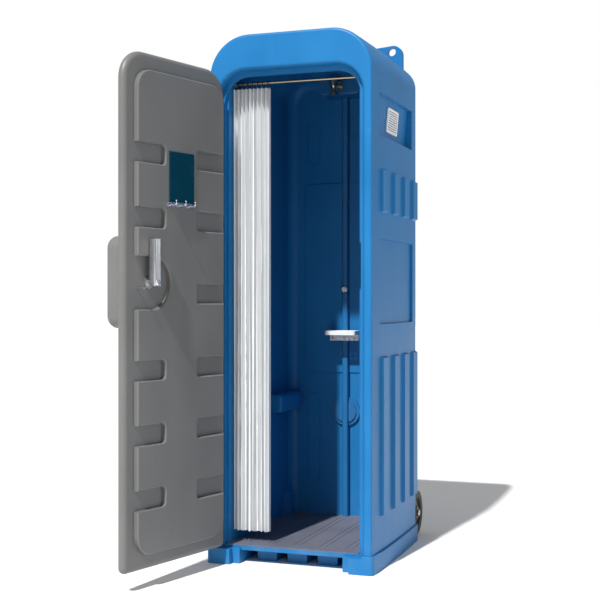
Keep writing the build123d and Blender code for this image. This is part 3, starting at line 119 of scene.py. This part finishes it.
class MaterialBench:
    """Builds one material's node tree around a Principled shader."""

    def __init__(self, name: str) -> None:
        """Make an empty material.

        Args:
            name: The material's name.
        """
        self.material = bpy.data.materials.new(name)
        self.material.use_nodes = True
        self.tree = self.material.node_tree
        self.tree.nodes.clear()
        self.shader = self.tree.nodes.new("ShaderNodeBsdfPrincipled")
        output = self.tree.nodes.new("ShaderNodeOutputMaterial")
        self.tree.links.new(self.shader.outputs[0], output.inputs["Surface"])
        self.spot = self.node("ShaderNodeTexCoord", {}, {}, "Object")

    def node(self, kind: str, settings: dict, inputs: dict, result: Union[int, str] = 0) -> Wire:
        """Add a node.

        Args:
            kind: The node's type.
            settings: Properties set before the sockets.
            inputs: Socket index or name to a value or a wire.
            result: The output that is returned.

        Returns:
            The chosen output.
        """
        made = self.tree.nodes.new(kind)
        for key, value in settings.items():
            setattr(made, key, value)
        for key, value in inputs.items():
            self.feed(made.inputs[key], value)
        return Wire(self, made.outputs[result])

    def feed(self, socket: bpy.types.NodeSocket, value: Term) -> None:
        """Link a wire to a socket, or set the socket's own value."""
        if isinstance(value, Wire):
            self.tree.links.new(value.socket, socket)
        else:
            socket.default_value = value

    def set(self, **inputs: Term) -> None:
        """Feed the shader's sockets; an underscore in a name stands for a space."""
        for key, value in inputs.items():
            self.feed(self.shader.inputs[key.replace("_", " ")], value)

    def noise(self, scale: float, detail: float = 3.0, stretch: Optional[Colour] = None) -> Wire:
        """Return fractal noise on the piece's own coordinates.

        Args:
            scale: Features per metre.
            detail: Octaves.
            stretch: Scale along each axis, for a grain with a direction.

        Returns:
            The noise, about 0.5 on average.
        """
        place = self.spot
        if stretch is not None:
            place = self.node("ShaderNodeMapping", {}, {"Vector": place, "Scale": stretch})
        return self.node("ShaderNodeTexNoise", {}, {"Vector": place, "Scale": scale, "Detail": detail})

    def band(self, value: Term, low: float, high: float) -> Wire:
        """Return a smooth step from 0 at low to 1 at high."""
        settings = {"interpolation_type": "SMOOTHSTEP"}
        inputs = {"Value": value, "From Min": low, "From Max": high}
        return self.node("ShaderNodeMapRange", settings, inputs)

    def mix(self, factor: Term, first: Term, second: Term, how: Joins = Joins.MIX) -> Wire:
        """Mix two colours.

        Args:
            factor: Share of the second colour.
            first: A colour or wire.
            second: A colour or wire.
            how: The blending rule.

        Returns:
            The mixed colour.
        """
        made = self.tree.nodes.new("ShaderNodeMix")
        made.data_type = "RGBA"
        made.blend_type = how.value
        for key, value in ((0, factor), (6, first), (7, second)):
            if not isinstance(value, Wire) and key:
                value = (*value[:3], 1.0)
            self.feed(made.inputs[key], value)
        return Wire(self, made.outputs[2])

    def bump(
        self, height: Wire, depth: float, strength: float = 1.0, under: Optional[Wire] = None
    ) -> Wire:
        """Return a normal from a height.

        Args:
            height: The height, 0 to 1.
            depth: Its real depth in metres.
            strength: How much of it shows.
            under: A coarser normal beneath it.

        Returns:
            The normal.
        """
        inputs = {"Height": height, "Distance": depth, "Strength": strength}
        if under is not None:
            inputs["Normal"] = under
        return self.node("ShaderNodeBump", {}, inputs)

    def level(self) -> Wire:
        """Return the height above the ground in metres."""
        return self.node("ShaderNodeSeparateXYZ", {}, {0: self.spot}, "Z")


# ---------------------------------------------------------------------------- finishes
@dataclass(frozen=True)
class MouldedPlastic:
    """Rotationally moulded plastic: a soft sheen, faint flow mottling and a fine pebble."""

    name: str
    colour: Colour
    roughness: float = 0.42
    mottle: float = 0.05
    pebble: float = 0.00012
    dust: float = 0.0
    gloss: float = 0.5

    def build(self) -> bpy.types.Material:
        """Return the material."""
        bench = MaterialBench(self.name)
        cloud = bench.noise(3.5, 4.0)
        streak = bench.noise(9.0, 3.0, (1.0, 1.0, 0.22))
        dark = tuple(c * (1 - 2.4 * self.mottle) for c in self.colour)
        light = tuple(min(1.0, c * (1 + 1.6 * self.mottle) + 0.004) for c in self.colour)
        shade = bench.mix(bench.band(cloud * 0.6 + streak * 0.4, 0.3, 0.7), dark, light)
        scuff = bench.band(bench.noise(42.0, 6.0, (1.0, 1.0, 0.35)), 0.63, 0.78)
        worn = tuple(0.5 * c + 0.18 for c in self.colour)
        shade = bench.mix(scuff * (2.0 * self.mottle), shade, worn)
        if self.dust > 0:
            near_ground = 1.0 - bench.band(bench.level(), 0.0, 0.34)
            film = near_ground * bench.band(bench.noise(14.0, 5.0), 0.32, 0.75)
            shade = bench.mix(film * self.dust, shade, (0.36, 0.33, 0.28))
        rough = (cloud - 0.5) * 0.16 + scuff * 0.10 + self.roughness
        waviness = bench.bump(bench.noise(7.0, 1.0), 0.0012, 0.5)
        grain = bench.bump(bench.noise(620.0, 2.0), self.pebble, 0.7, waviness)
        bench.set(Base_Color=shade, Roughness=rough.clamped(), Normal=grain)
        bench.shader.inputs["IOR"].default_value = 1.49
        bench.shader.inputs["Specular IOR Level"].default_value = self.gloss
        return bench.material


@dataclass(frozen=True)
class Metal:
    """Bare metal with a directional grain and faint handling marks."""

    name: str
    colour: Colour
    roughness: float = 0.3
    grain: float = 0.00004
    along: Colour = (1.0, 1.0, 0.05)

    def build(self) -> bpy.types.Material:
        """Return the material."""
        bench = MaterialBench(self.name)
        brush = bench.noise(900.0, 2.0, self.along)
        marks = bench.band(bench.noise(55.0, 5.0), 0.5, 0.75)
        shade = bench.mix(marks * 0.35, self.colour, tuple(c * 0.72 for c in self.colour))
        rough = (brush - 0.5) * 0.22 + marks * 0.12 + self.roughness
        grain = bench.bump(brush, self.grain, 0.5)
        bench.set(Base_Color=shade, Roughness=rough.clamped(), Normal=grain)
        bench.shader.inputs["Metallic"].default_value = 1.0
        return bench.material


@dataclass(frozen=True)
class MirrorWithPaintedReflection:
    """A mirror: glass whose navy base colour is a painted reflection of the blue interior, with faint random haze.
    """

    name: str
    colour: Colour
    roughness: float = 0.03

    def build(self) -> bpy.types.Material:
        """Return the material."""
        bench = MaterialBench(self.name)
        # The navy base colour is a painted reflection of the blue interior. Haze patches lighten it at random, and
        # metallic is kept low so the painted colour shows.
        haze = bench.band(bench.noise(12.0, 4.0), 0.45, 0.8)
        shade = bench.mix(haze * 0.25, self.colour, tuple(c * 1.6 + 0.01 for c in self.colour))
        bench.set(Base_Color=shade, Roughness=haze * 0.06 + self.roughness)
        bench.shader.inputs["Metallic"].default_value = 0.35
        bench.shader.inputs["Coat Weight"].default_value = 0.6
        return bench.material


@dataclass(frozen=True)
class Rubber:
    """Solid tyre rubber, dusty in its tread and a little brown."""

    name: str
    colour: Colour

    def build(self) -> bpy.types.Material:
        """Return the material."""
        bench = MaterialBench(self.name)
        cloud = bench.noise(26.0, 5.0)
        film = bench.band(cloud, 0.42, 0.72)
        shade = bench.mix(film * 0.5, self.colour, (0.16, 0.12, 0.08))
        fine = bench.bump(bench.noise(700.0, 3.0), 0.0002, 0.8)
        bench.set(Base_Color=shade, Roughness=film * 0.16 + 0.62, Normal=fine)
        return bench.material


@dataclass(frozen=True)
class CurtainCloth:
    """Coated white cloth with a fine plain weave that follows the sheet."""

    name: str
    colour: Colour
    threads: float = 900.0

    def build(self) -> bpy.types.Material:
        """Return the material."""
        bench = MaterialBench(self.name)
        flat = bench.node("ShaderNodeTexCoord", {}, {}, "UV")
        weave = None
        for direction in ("X", "Y"):
            settings = {"wave_type": "BANDS", "bands_direction": direction}
            inputs = {"Vector": flat, "Scale": self.threads / 6.28, "Distortion": 0.6, "Detail": 1.0}
            thread = bench.node("ShaderNodeTexWave", settings, inputs, "Fac")
            weave = thread if weave is None else weave * 0.5 + thread * 0.5
        cloud = bench.noise(6.0, 4.0)
        shaded = tuple(c * 0.94 for c in self.colour)
        shade = bench.mix(bench.band(cloud, 0.35, 0.75) * 0.5, self.colour, shaded)
        crease = bench.bump(bench.noise(24.0, 4.0, (1.0, 1.0, 0.4)), 0.002, 0.35)
        cloth = bench.bump(weave, 0.00015, 0.5, crease)
        bench.set(Base_Color=shade, Roughness=cloud * 0.15 + 0.55, Normal=cloth)
        bench.shader.inputs["Sheen Weight"].default_value = 0.05
        bench.shader.inputs["Sheen Roughness"].default_value = 0.5
        bench.shader.inputs["Subsurface Weight"].default_value = 0.0
        bench.shader.inputs["Subsurface Scale"].default_value = 0.01
        return bench.material


@dataclass(frozen=True)
class Palette:
    """Every finish on the cubicle, by the record's material slot."""

    finishes: dict = field(default_factory=lambda: {
        "shell": MouldedPlastic("blue_shell", (0.009, 0.160, 0.410), 0.42, 0.03, dust=0.05, gloss=0.25),
        "deck": MouldedPlastic("blue_deck", (0.009, 0.145, 0.370), 0.48, 0.04, dust=0.08, gloss=0.25),
        "tray": MouldedPlastic("grey_tray", (0.130, 0.135, 0.170), 0.52, 0.05, 0.0003),
        "door": MouldedPlastic("grey_door", (0.150, 0.152, 0.152), 0.42, 0.03),
        "white": MouldedPlastic("white_trim", (0.80, 0.82, 0.83), 0.35, 0.02),
        "conduit": MouldedPlastic("dark_blue_trim", (0.008, 0.135, 0.345), 0.42, 0.03),
        "hub": MouldedPlastic("black_hub", (0.030, 0.030, 0.032), 0.45, 0.1),
        "rings": MouldedPlastic("black_rings", (0.020, 0.020, 0.022), 0.30, 0.02),
        "steel": Metal("stainless", (0.60, 0.61, 0.62), 0.30),
        "aluminium": Metal("drawn_aluminium", (0.78, 0.79, 0.81), 0.32),
        "chrome": Metal("chrome", (0.80, 0.81, 0.83), 0.10, 0.00001),
        "brass": Metal("satin_brass", (0.52, 0.43, 0.31), 0.30, 0.00002, (1.0, 1.0, 1.0)),
        # Mirror colour: a painted navy reflection of the blue interior, not the glass's own colour.
        "mirror": MirrorWithPaintedReflection("mirror_painted_reflection", (0.004, 0.055, 0.090)),
        "tyre": Rubber("tyre_rubber", (0.030, 0.025, 0.021)),
        "cloth": CurtainCloth("curtain_cloth", (0.78, 0.80, 0.82)),
    })

    def build(self) -> dict[str, bpy.types.Material]:
        """Return the finished material of each slot."""
        return {slot: finish.build() for slot, finish in self.finishes.items()}


# ---------------------------------------------------------------------------- bench tools
def select_only(piece: Optional[bpy.types.Object]) -> None:
    """Select one piece and make it active, or deselect everything."""
    bpy.ops.object.select_all(action="DESELECT")
    if piece is not None:
        piece.select_set(True)
        bpy.context.view_layer.objects.active = piece


def apply_place(piece: bpy.types.Object) -> None:
    """Move a piece's place, turn and scale into its mesh."""
    select_only(piece)
    bpy.ops.object.transform_apply(location=True, rotation=True, scale=True)


def add_modifier(piece: bpy.types.Object, kind: str, **settings: object) -> None:
    """Add a modifier and apply it.

    Args:
        piece: The object.
        kind: The modifier's type.
        settings: Its properties.
    """
    select_only(piece)
    modifier = piece.modifiers.new(kind.title(), kind)
    for key, value in settings.items():
        setattr(modifier, key, value)
    bpy.ops.object.modifier_apply(modifier=modifier.name)


def in_edit(piece: bpy.types.Object, *steps: Callable[[], object]) -> None:
    """Run operators on all of a piece in edit mode."""
    select_only(piece)
    bpy.ops.object.mode_set(mode="EDIT")
    bpy.ops.mesh.select_all(action="SELECT")
    for step in steps:
        step()
    bpy.ops.object.mode_set(mode="OBJECT")


def pick_faces(piece: bpy.types.Object, wanted: Callable[[bpy.types.MeshPolygon], bool]) -> None:
    """Select the faces that a test picks, leaving the piece in object mode."""
    select_only(piece)
    bpy.ops.object.mode_set(mode="EDIT")
    bpy.ops.mesh.select_mode(type="FACE")
    bpy.ops.mesh.select_all(action="DESELECT")
    bpy.ops.object.mode_set(mode="OBJECT")
    for face in piece.data.polygons:
        face.select = wanted(face)


def pick_edges(piece: bpy.types.Object, wanted: Callable[[Vector, Vector], bool]) -> None:
    """Select the edges whose two ends pass a test, leaving the piece in object mode."""
    select_only(piece)
    bpy.ops.object.mode_set(mode="EDIT")
    bpy.ops.mesh.select_mode(type="EDGE")
    bpy.ops.mesh.select_all(action="DESELECT")
    bpy.ops.object.mode_set(mode="OBJECT")
    spots = [vertex.co for vertex in piece.data.vertices]
    for edge in piece.data.edges:
        edge.select = wanted(spots[edge.vertices[0]], spots[edge.vertices[1]])


def dress(piece: bpy.types.Object, material: bpy.types.Material) -> None:
    """Give a piece one material."""
    piece.data.materials.clear()
    piece.data.materials.append(material)


def join(pieces: Sequence[bpy.types.Object], name: str) -> bpy.types.Object:
    """Join pieces into one and name it."""
    bpy.ops.object.select_all(action="DESELECT")
    for piece in pieces:
        piece.select_set(True)
    bpy.context.view_layer.objects.active = pieces[0]
    if len(pieces) > 1:
        bpy.ops.object.join()
    whole = bpy.context.view_layer.objects.active
    whole.name = name
    whole.data.name = name
    return whole


def box_piece(
    name: str, low: Sequence[float], high: Sequence[float], edge: float = 0.0
) -> bpy.types.Object:
    """Return a box between two corners, with bevelled edges.

    Args:
        name: The piece's name.
        low: Its lowest corner in metres.
        high: Its highest corner in metres.
        edge: Bevel width in metres.

    Returns:
        The piece.
    """
    centre = [(a + b) / 2 for a, b in zip(low, high)]
    bpy.ops.mesh.primitive_cube_add(size=1.0, location=centre)
    piece = bpy.context.active_object
    piece.name = name
    piece.scale = [b - a for a, b in zip(low, high)]
    apply_place(piece)
    if edge > 0:
        add_modifier(piece, "BEVEL", width=edge, segments=3, limit_method="ANGLE")
    return piece


def smooth(piece: bpy.types.Object, degrees: float = 35.0) -> None:
    """Shade a piece smooth up to an angle."""
    select_only(piece)
    bpy.ops.object.shade_smooth_by_angle(angle=math.radians(degrees))


def place(
    piece: bpy.types.Object, body: str, slot: str, material: bpy.types.Material, *nodes: str
) -> None:
    """Dress a new piece, ride it on its body and hide the nodes it stands for."""
    dress(piece, material)
    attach(piece, body)
    if nodes:
        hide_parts(*nodes)
    LOG.info("%s rides on %s", piece.name, body)


# ---------------------------------------------------------------------------- sub-assemblies
class CadNodes:
    """The rigid parts whose shape the frame already holds."""

    def dress_all(self, materials: dict[str, bpy.types.Material]) -> None:
        """Give every node the finish of its slot.

        Args:
            materials: Material of each slot.
        """
        for part in frame["record"]["subparts"]:
            node = frame["nodes"].get(part["node"])
            if node is None:
                continue
            dress(node, materials[part["material_slot"]])
        LOG.info("%d nodes dressed", len(frame["nodes"]))


@dataclass
class Curtain:
    """The white curtain, gathered at the left end of its rod."""

    creases: tuple = (0.90, 1.0, 0.80, 1.0, 0.85, 1.0, 0.80, 1.0, 0.90)
    flat_size: tuple = (0.95, 1.95)
    columns: int = 360
    rows: int = 110
    depth: float = 0.054
    edge_gap: float = 0.001
    thickness: float = 0.0009
    hem: float = 0.030
    hem_reach: float = 0.012
    hem_relief: float = 0.0009
    front_shape: float = 1.2
    scallop: float = 0.006

    def section(self, across: float, down: float, low: Vector, high: Vector) -> tuple[float, float]:
        """Return a point of the gathered cloth in plan.

        Args:
            across: Place across the cloth, 0 to 1.
            down: Place down the cloth, 0 at its top and 1 at its hem.
            low: Lowest corner of the space it hangs in.
            high: Highest corner of that space.

        Returns:
            X and Y in metres.
        """
        count = len(self.creases)
        loose = 0.25 + 0.75 * min(1.0, 1.6 * down)
        wander = 0.10 * math.sin(2.3 * down + 7.0 * across)
        wander += 0.07 * math.sin(5.1 * down + 16.0 * across + 1.3)
        turn = across * count + wander * loose * math.sin(math.pi * across)
        fold = min(count - 1, max(0, int(turn)))
        part = turn - fold
        breathing = 1.0 - 0.14 * (1 - loose) + 0.06 * math.sin(3.0 * down + 2.4 * fold)
        share = self.creases[fold] * breathing
        wave = 0.5 - 0.5 * math.cos(2 * math.pi * part)
        flat_front = wave ** self.front_shape
        inset = self.edge_gap + 0.004 * math.sin(2.0 * down + fold) ** 2
        width = high.x - low.x - 2 * self.edge_gap
        bulge = 0.115 + 0.03 * math.sin(1.7 * fold + 2.0 * down)
        lean = width / count * bulge * math.sin(4 * math.pi * part)
        tilt = 0.0035 * math.sin(2.6 * down + 1.9 * fold) * loose
        x = low.x + self.edge_gap + turn / count * width - lean + tilt * math.sin(math.pi * across)
        y = low.y + inset + flat_front * share * self.depth * 0.98
        return x, min(y, high.y - 0.002)

    def build(self, materials: dict[str, bpy.types.Material]) -> bpy.types.Object:
        """Args:
            materials: Material of each slot.

        Returns:
            The curtain.
        """
        low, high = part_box("curtain")
        bpy.ops.mesh.primitive_grid_add(x_subdivisions=self.columns, y_subdivisions=self.rows, size=1.0)
        piece = bpy.context.active_object
        piece.name = "gathered_curtain"
        height = high.z - low.z
        for vertex in piece.data.vertices:
            across = vertex.co.x + 0.5
            down = 0.5 - vertex.co.y
            x, y = self.section(across, down, low, high)
            scallop = self.scallop * (y - low.y) / self.depth * down
            ripple = 0.002 * math.sin(40 * across) * down
            vertex.co = (x, y, high.z - 0.001 - down * (height - 0.010) - scallop + ripple)
        for loop in piece.data.uv_layers.active.data:
            loop.uv = (loop.uv.x * self.flat_size[0], loop.uv.y * self.flat_size[1])
        self.thicken_hem(piece, low.z)
        add_modifier(piece, "SOLIDIFY", thickness=self.thickness, offset=0.0)
        smooth(piece, 70.0)
        place(piece, "curtain", "cloth", materials["cloth"], "curtain")
        return piece

    def thicken_hem(self, piece: bpy.types.Object, bottom: float) -> None:
        """Press the stitch line of the hem into the cloth.

        Args:
            piece: The cloth, still one sheet.
            bottom: Height of its lower edge.
        """
        for vertex in piece.data.vertices:
            lift = vertex.co.z - bottom
            if abs(lift - self.hem) < self.hem_reach:
                vertex.co.y += self.hem_relief


@dataclass
class Tyre:
    """A solid tyre with cleated shoulders and a grooved middle."""

    cleats: int = 26
    columns_each: int = 4
    groove: float = 0.0055
    rows: tuple = (0.0235, 0.0105, 0.0022)

    def build(self, end: str, materials: dict[str, bpy.types.Material]) -> bpy.types.Object:
        """Make one tyre.

        Args:
            end: "left" or "right".
            materials: Material of each slot.

        Returns:
            The tyre.
        """
        low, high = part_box(f"tyre_{end}")
        hub_low, hub_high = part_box(f"wheel_hub_{end}")
        centre = (low + high) / 2
        radius = (high.z - low.z) / 2
        bore = (hub_high.z - hub_low.z) / 2
        half = (high.x - low.x) / 2
        bpy.ops.mesh.primitive_cylinder_add(
            vertices=self.cleats * self.columns_each, radius=radius, depth=2 * half,
            end_fill_type="NOTHING", location=centre, rotation=(0.0, math.pi / 2, 0.0))
        piece = bpy.context.active_object
        piece.name = f"cleated_tyre_{end}"
        apply_place(piece)
        self.cut_rows(piece, centre, half)
        self.turn_walls(piece, centre, half, radius, bore)
        self.cut_tread(piece, centre, radius)
        add_modifier(piece, "BEVEL", width=0.0012, segments=2, limit_method="ANGLE")
        smooth(piece, 40.0)
        place(piece, f"wheel_{end}", "tyre", materials["tyre"], f"tyre_{end}")
        return piece

    def cut_rows(self, piece: bpy.types.Object, centre: Vector, half: float) -> None:
        """Divide the tread into rows across its width."""
        for row in self.rows:
            for side in (-1, 1):
                point = (centre.x + side * min(row, half - 0.001), centre.y, centre.z)
                in_edit(piece, lambda at=point: bpy.ops.mesh.bisect(plane_co=at, plane_no=(1, 0, 0)))

    def turn_walls(
        self, piece: bpy.types.Object, centre: Vector, half: float, radius: float, bore: float
    ) -> None:
        """Extrude both rims inwards to the bore and close the bore.

        Args:
            piece: The open band of tread.
            centre: Middle of the wheel.
            half: Half the tyre's width.
            radius: Outer radius.
            bore: Inner radius.
        """
        steps = ((0.955, 0.0), (0.86, 0.0012), (bore / radius, -0.0035))
        for side in (-1, 1):
            reach = 1.0
            edge_x = centre.x + side * half
            pick_edges(piece, lambda a, b, at=edge_x: abs(a.x - at) < 1e-5 and abs(b.x - at) < 1e-5)
            bpy.ops.object.mode_set(mode="EDIT")
            bpy.ops.transform.resize(value=(1, 0.985, 0.985), center_override=centre)
            reach *= 0.985
            for share, proud in steps:
                bpy.ops.mesh.extrude_edges_move()
                bpy.ops.transform.translate(value=(side * proud, 0, 0))
                ratio = share / reach
                bpy.ops.transform.resize(value=(1, ratio, ratio), center_override=centre)
                reach = share
            bpy.ops.object.mode_set(mode="OBJECT")

        def at_bore(spot: Vector) -> bool:
            """Tell whether a vertex lies on the bore's rim."""
            return abs(math.hypot(spot.y - centre.y, spot.z - centre.z) - bore) < 1e-4

        pick_edges(piece, lambda a, b: at_bore(a) and at_bore(b))
        bpy.ops.object.mode_set(mode="EDIT")
        bpy.ops.mesh.bridge_edge_loops()
        bpy.ops.mesh.select_all(action="SELECT")
        bpy.ops.mesh.normals_make_consistent(inside=False)
        bpy.ops.object.mode_set(mode="OBJECT")

    def cut_tread(self, piece: bpy.types.Object, centre: Vector, radius: float) -> None:
        """Sink the gaps between the cleats and the groove round the middle."""
        pitch = 2 * math.pi / self.cleats
        inner, middle = self.rows[1], self.rows[2]

        def is_gap(face: bpy.types.MeshPolygon) -> bool:
            """Tell whether a tread face lies between two cleats."""
            at = face.center - centre
            if math.hypot(at.y, at.z) < radius * 0.97:
                return False
            if abs(at.x) < middle:
                return True
            shift = 0.5 if (at.x > 0) == (abs(at.x) > inner) else 0.0
            turn = (math.atan2(at.z, at.y) / pitch + shift) % 1.0
            on_shoulder = abs(at.x) > inner and turn < 1.4 / self.columns_each
            return on_shoulder or turn < 1.0 / self.columns_each

        pick_faces(piece, is_gap)
        bpy.ops.object.mode_set(mode="EDIT")
        bpy.ops.mesh.extrude_region_shrink_fatten(TRANSFORM_OT_shrink_fatten={"value": -self.groove})
        bpy.ops.object.mode_set(mode="OBJECT")


@dataclass
class LatchBar:
    """The swinging bar: a drawn aluminium section with fluted faces."""

    flutes: int = 3
    flute_depth: float = 0.0022
    edge: float = 0.0009

    def build(self, materials: dict[str, bpy.types.Material]) -> bpy.types.Object:
        """Make the bar in the door's open place.

        Args:
            materials: Material of each slot.

        Returns:
            The bar.
        """
        shut = Hinge.from_frame()
        low, high = shut.shut_box("latch_bar")
        piece = box_piece("fluted_latch_bar", low, high)
        strips = 2 * self.flutes + 2
        pitch = (high.x - low.x) / strips
        for step in range(1, strips):
            x = low.x + step * pitch
            in_edit(piece, lambda at=x: bpy.ops.mesh.bisect(plane_co=(at, 0, 0), plane_no=(1, 0, 0)))

        def is_flute(face: bpy.types.MeshPolygon) -> bool:
            """Tell whether a face is the bottom of a flute."""
            strip = int((face.center.x - low.x) / pitch)
            return abs(face.normal.y) > FLAT_FACE and strip % 2 == 1 and strip < strips - 1

        pick_faces(piece, is_flute)
        bpy.ops.object.mode_set(mode="EDIT")
        bpy.ops.mesh.extrude_region_shrink_fatten(TRANSFORM_OT_shrink_fatten={"value": -self.flute_depth})
        bpy.ops.object.mode_set(mode="OBJECT")
        add_modifier(piece, "BEVEL", width=self.edge, segments=3, limit_method="ANGLE")
        smooth(piece, 30.0)
        shut.swing(piece)
        place(piece, "latch", "aluminium", materials["aluminium"], "latch_bar")
        return piece


@dataclass
class Hinge:
    """The door's hinge line, and the turn from shut to where the door stands at rest."""

    pin: Vector
    open_angle: float

    @classmethod
    def from_frame(cls) -> "Hinge":
        """Read the hinge from the frame's joints."""
        joint = next(j for j in frame["joints"] if j["name"] == "door_hinge")
        return cls(Vector(joint["pos_m"]), math.radians(max(joint["range_deg"])))

    def shut_box(self, node: str) -> tuple[Vector, Vector]:
        """Return a door node's corners with the door shut.

        Args:
            node: The node's name.

        Returns:
            Lowest and highest corner.
        """
        turn = Euler((0.0, 0.0, self.open_angle)).to_matrix()
        points = [turn @ (v.co - self.pin) + self.pin for v in frame["nodes"][node].data.vertices]
        low = Vector([min(p[axis] for p in points) for axis in range(3)])
        high = Vector([max(p[axis] for p in points) for axis in range(3)])
        return low, high

    def swing(self, piece: bpy.types.Object) -> None:
        """Turn a piece that was made shut to the open door."""
        turn = Euler((0.0, 0.0, -self.open_angle)).to_matrix()
        for vertex in piece.data.vertices:
            vertex.co = turn @ (vertex.co - self.pin) + self.pin


@dataclass
class CoatHooks:
    """Three bent wire hooks on the strip under the mirror."""

    wire: float = 0.0024

    def build(self, materials: dict[str, bpy.types.Material]) -> bpy.types.Object:
        """Make the three hooks.

        Args:
            materials: Material of each slot.

        Returns:
            The hooks, as one piece.
        """
        hinge = Hinge.from_frame()
        low, high = hinge.shut_box("coat_hooks")
        first = low.x + self.wire
        span = (high.x - low.x - 2 * self.wire) / 2
        hooks = [self.hook(first + step * span, low, high) for step in range(3)]
        whole = join(hooks, "wire_coat_hooks")
        hinge.swing(whole)
        smooth(whole, 60.0)
        place(whole, "door", "steel", materials["chrome"], "coat_hooks")
        return whole

    def hook(self, x: float, low: Vector, high: Vector) -> bpy.types.Object:
        """Bend one hook from wire, with its ball end up."""
        reach = high.y - low.y
        base = low.z + self.wire
        points = (
            (x, low.y, base + 0.004),
            (x, low.y + 0.35 * reach, base),
            (x, low.y + 0.72 * reach, base + 0.001),
            (x, high.y - self.wire, base + 0.007),
            (x, high.y - self.wire, high.z - 0.002),
        )
        bpy.ops.curve.primitive_bezier_curve_add()
        curve = bpy.context.active_object
        spline = curve.data.splines[0]
        spline.bezier_points.add(len(points) - 2)
        for knot, spot in zip(spline.bezier_points, points):
            knot.co = spot
            knot.handle_left_type = knot.handle_right_type = "AUTO"
        curve.data.dimensions = "3D"
        curve.data.bevel_depth = self.wire
        curve.data.bevel_resolution = 5
        curve.data.resolution_u = 10
        curve.data.use_fill_caps = True
        bpy.ops.object.convert(target="MESH")
        wire = bpy.context.active_object
        apply_place(wire)
        bpy.ops.mesh.primitive_uv_sphere_add(
            segments=20, ring_count=12, radius=self.wire * 1.5,
            location=(x, high.y - self.wire, high.z - 0.003))
        ball = bpy.context.active_object
        apply_place(ball)
        return join((wire, ball), "hook")


@dataclass
class Studio:
    """Pale floor, soft sky, a key light from the front left, and the camera."""

    eye: tuple = (1.6913, -5.0681, 1.1555)
    turn: float = math.radians(19.5)
    lens: float = 69.2
    shift: float = -0.0027
    sky: float = 0.42
    key: float = 4.7
    key_path: tuple = (0.12, 1.0, -1.30)

    def build(self) -> None:
        """Set the scene around the object."""
        self.floor()
        self.lights()
        self.camera()

    def floor(self) -> None:
        """Lay the floor."""
        bpy.ops.mesh.primitive_plane_add(size=60.0, location=(0.0, 12.0, -0.0005))
        floor = bpy.context.active_object
        floor.name = "studio_floor"
        bench = MaterialBench("pale_floor")
        bench.set(Base_Color=(0.86, 0.86, 0.86, 1.0), Roughness=0.75)
        dress(floor, bench.material)

    def lights(self) -> None:
        """Light the sky and add the key light."""
        world = bpy.data.worlds.new("studio_sky")
        world.use_nodes = True
        bpy.context.scene.world = world
        tree = world.node_tree
        tree.nodes.clear()
        path = tree.nodes.new("ShaderNodeLightPath")
        glow = tree.nodes.new("ShaderNodeMath")
        glow.operation = "MULTIPLY_ADD"
        glow.inputs[1].default_value = 1.0 - self.sky
        glow.inputs[2].default_value = self.sky
        back = tree.nodes.new("ShaderNodeBackground")
        back.inputs["Color"].default_value = (1.0, 1.0, 1.0, 1.0)
        out = tree.nodes.new("ShaderNodeOutputWorld")
        tree.links.new(path.outputs["Is Camera Ray"], glow.inputs[0])
        tree.links.new(glow.outputs[0], back.inputs["Strength"])
        tree.links.new(back.outputs[0], out.inputs["Surface"])
        bpy.ops.object.light_add(type="SUN")
        sun = bpy.context.active_object
        sun.name = "key_light"
        sun.data.energy = self.key
        sun.data.angle = math.radians(1.6)
        sun.data.color = (1.0, 0.985, 0.96)
        sun.rotation_euler = Vector(self.key_path).to_track_quat("-Z", "Y").to_euler()

    def camera(self) -> None:
        """Stand the camera level in front of the right corner."""
        bpy.ops.object.camera_add(location=self.eye, rotation=(math.pi / 2, 0.0, self.turn))
        camera = bpy.context.active_object
        camera.name = "front_camera"
        camera.data.sensor_width = 36.0
        camera.data.lens = self.lens
        camera.data.shift_y = self.shift
        camera.data.dof.use_dof = False
        bpy.context.scene.camera = camera
        bpy.context.scene.view_settings.view_transform = "Standard"


def main() -> None:
    """Build every piece, then the floor, lights and camera."""
    logging.basicConfig(level=logging.INFO, format="%(message)s")
    select_only(None)
    materials = Palette().build()
    CadNodes().dress_all(materials)
    Curtain().build(materials)
    for end in ("left", "right"):
        Tyre().build(end, materials)
    LatchBar().build(materials)
    CoatHooks().build(materials)
    Studio().build()
    write_sizes()


def write_sizes() -> None:
    bpy.context.view_layer.update()


if __name__ == "__main__":
    main()
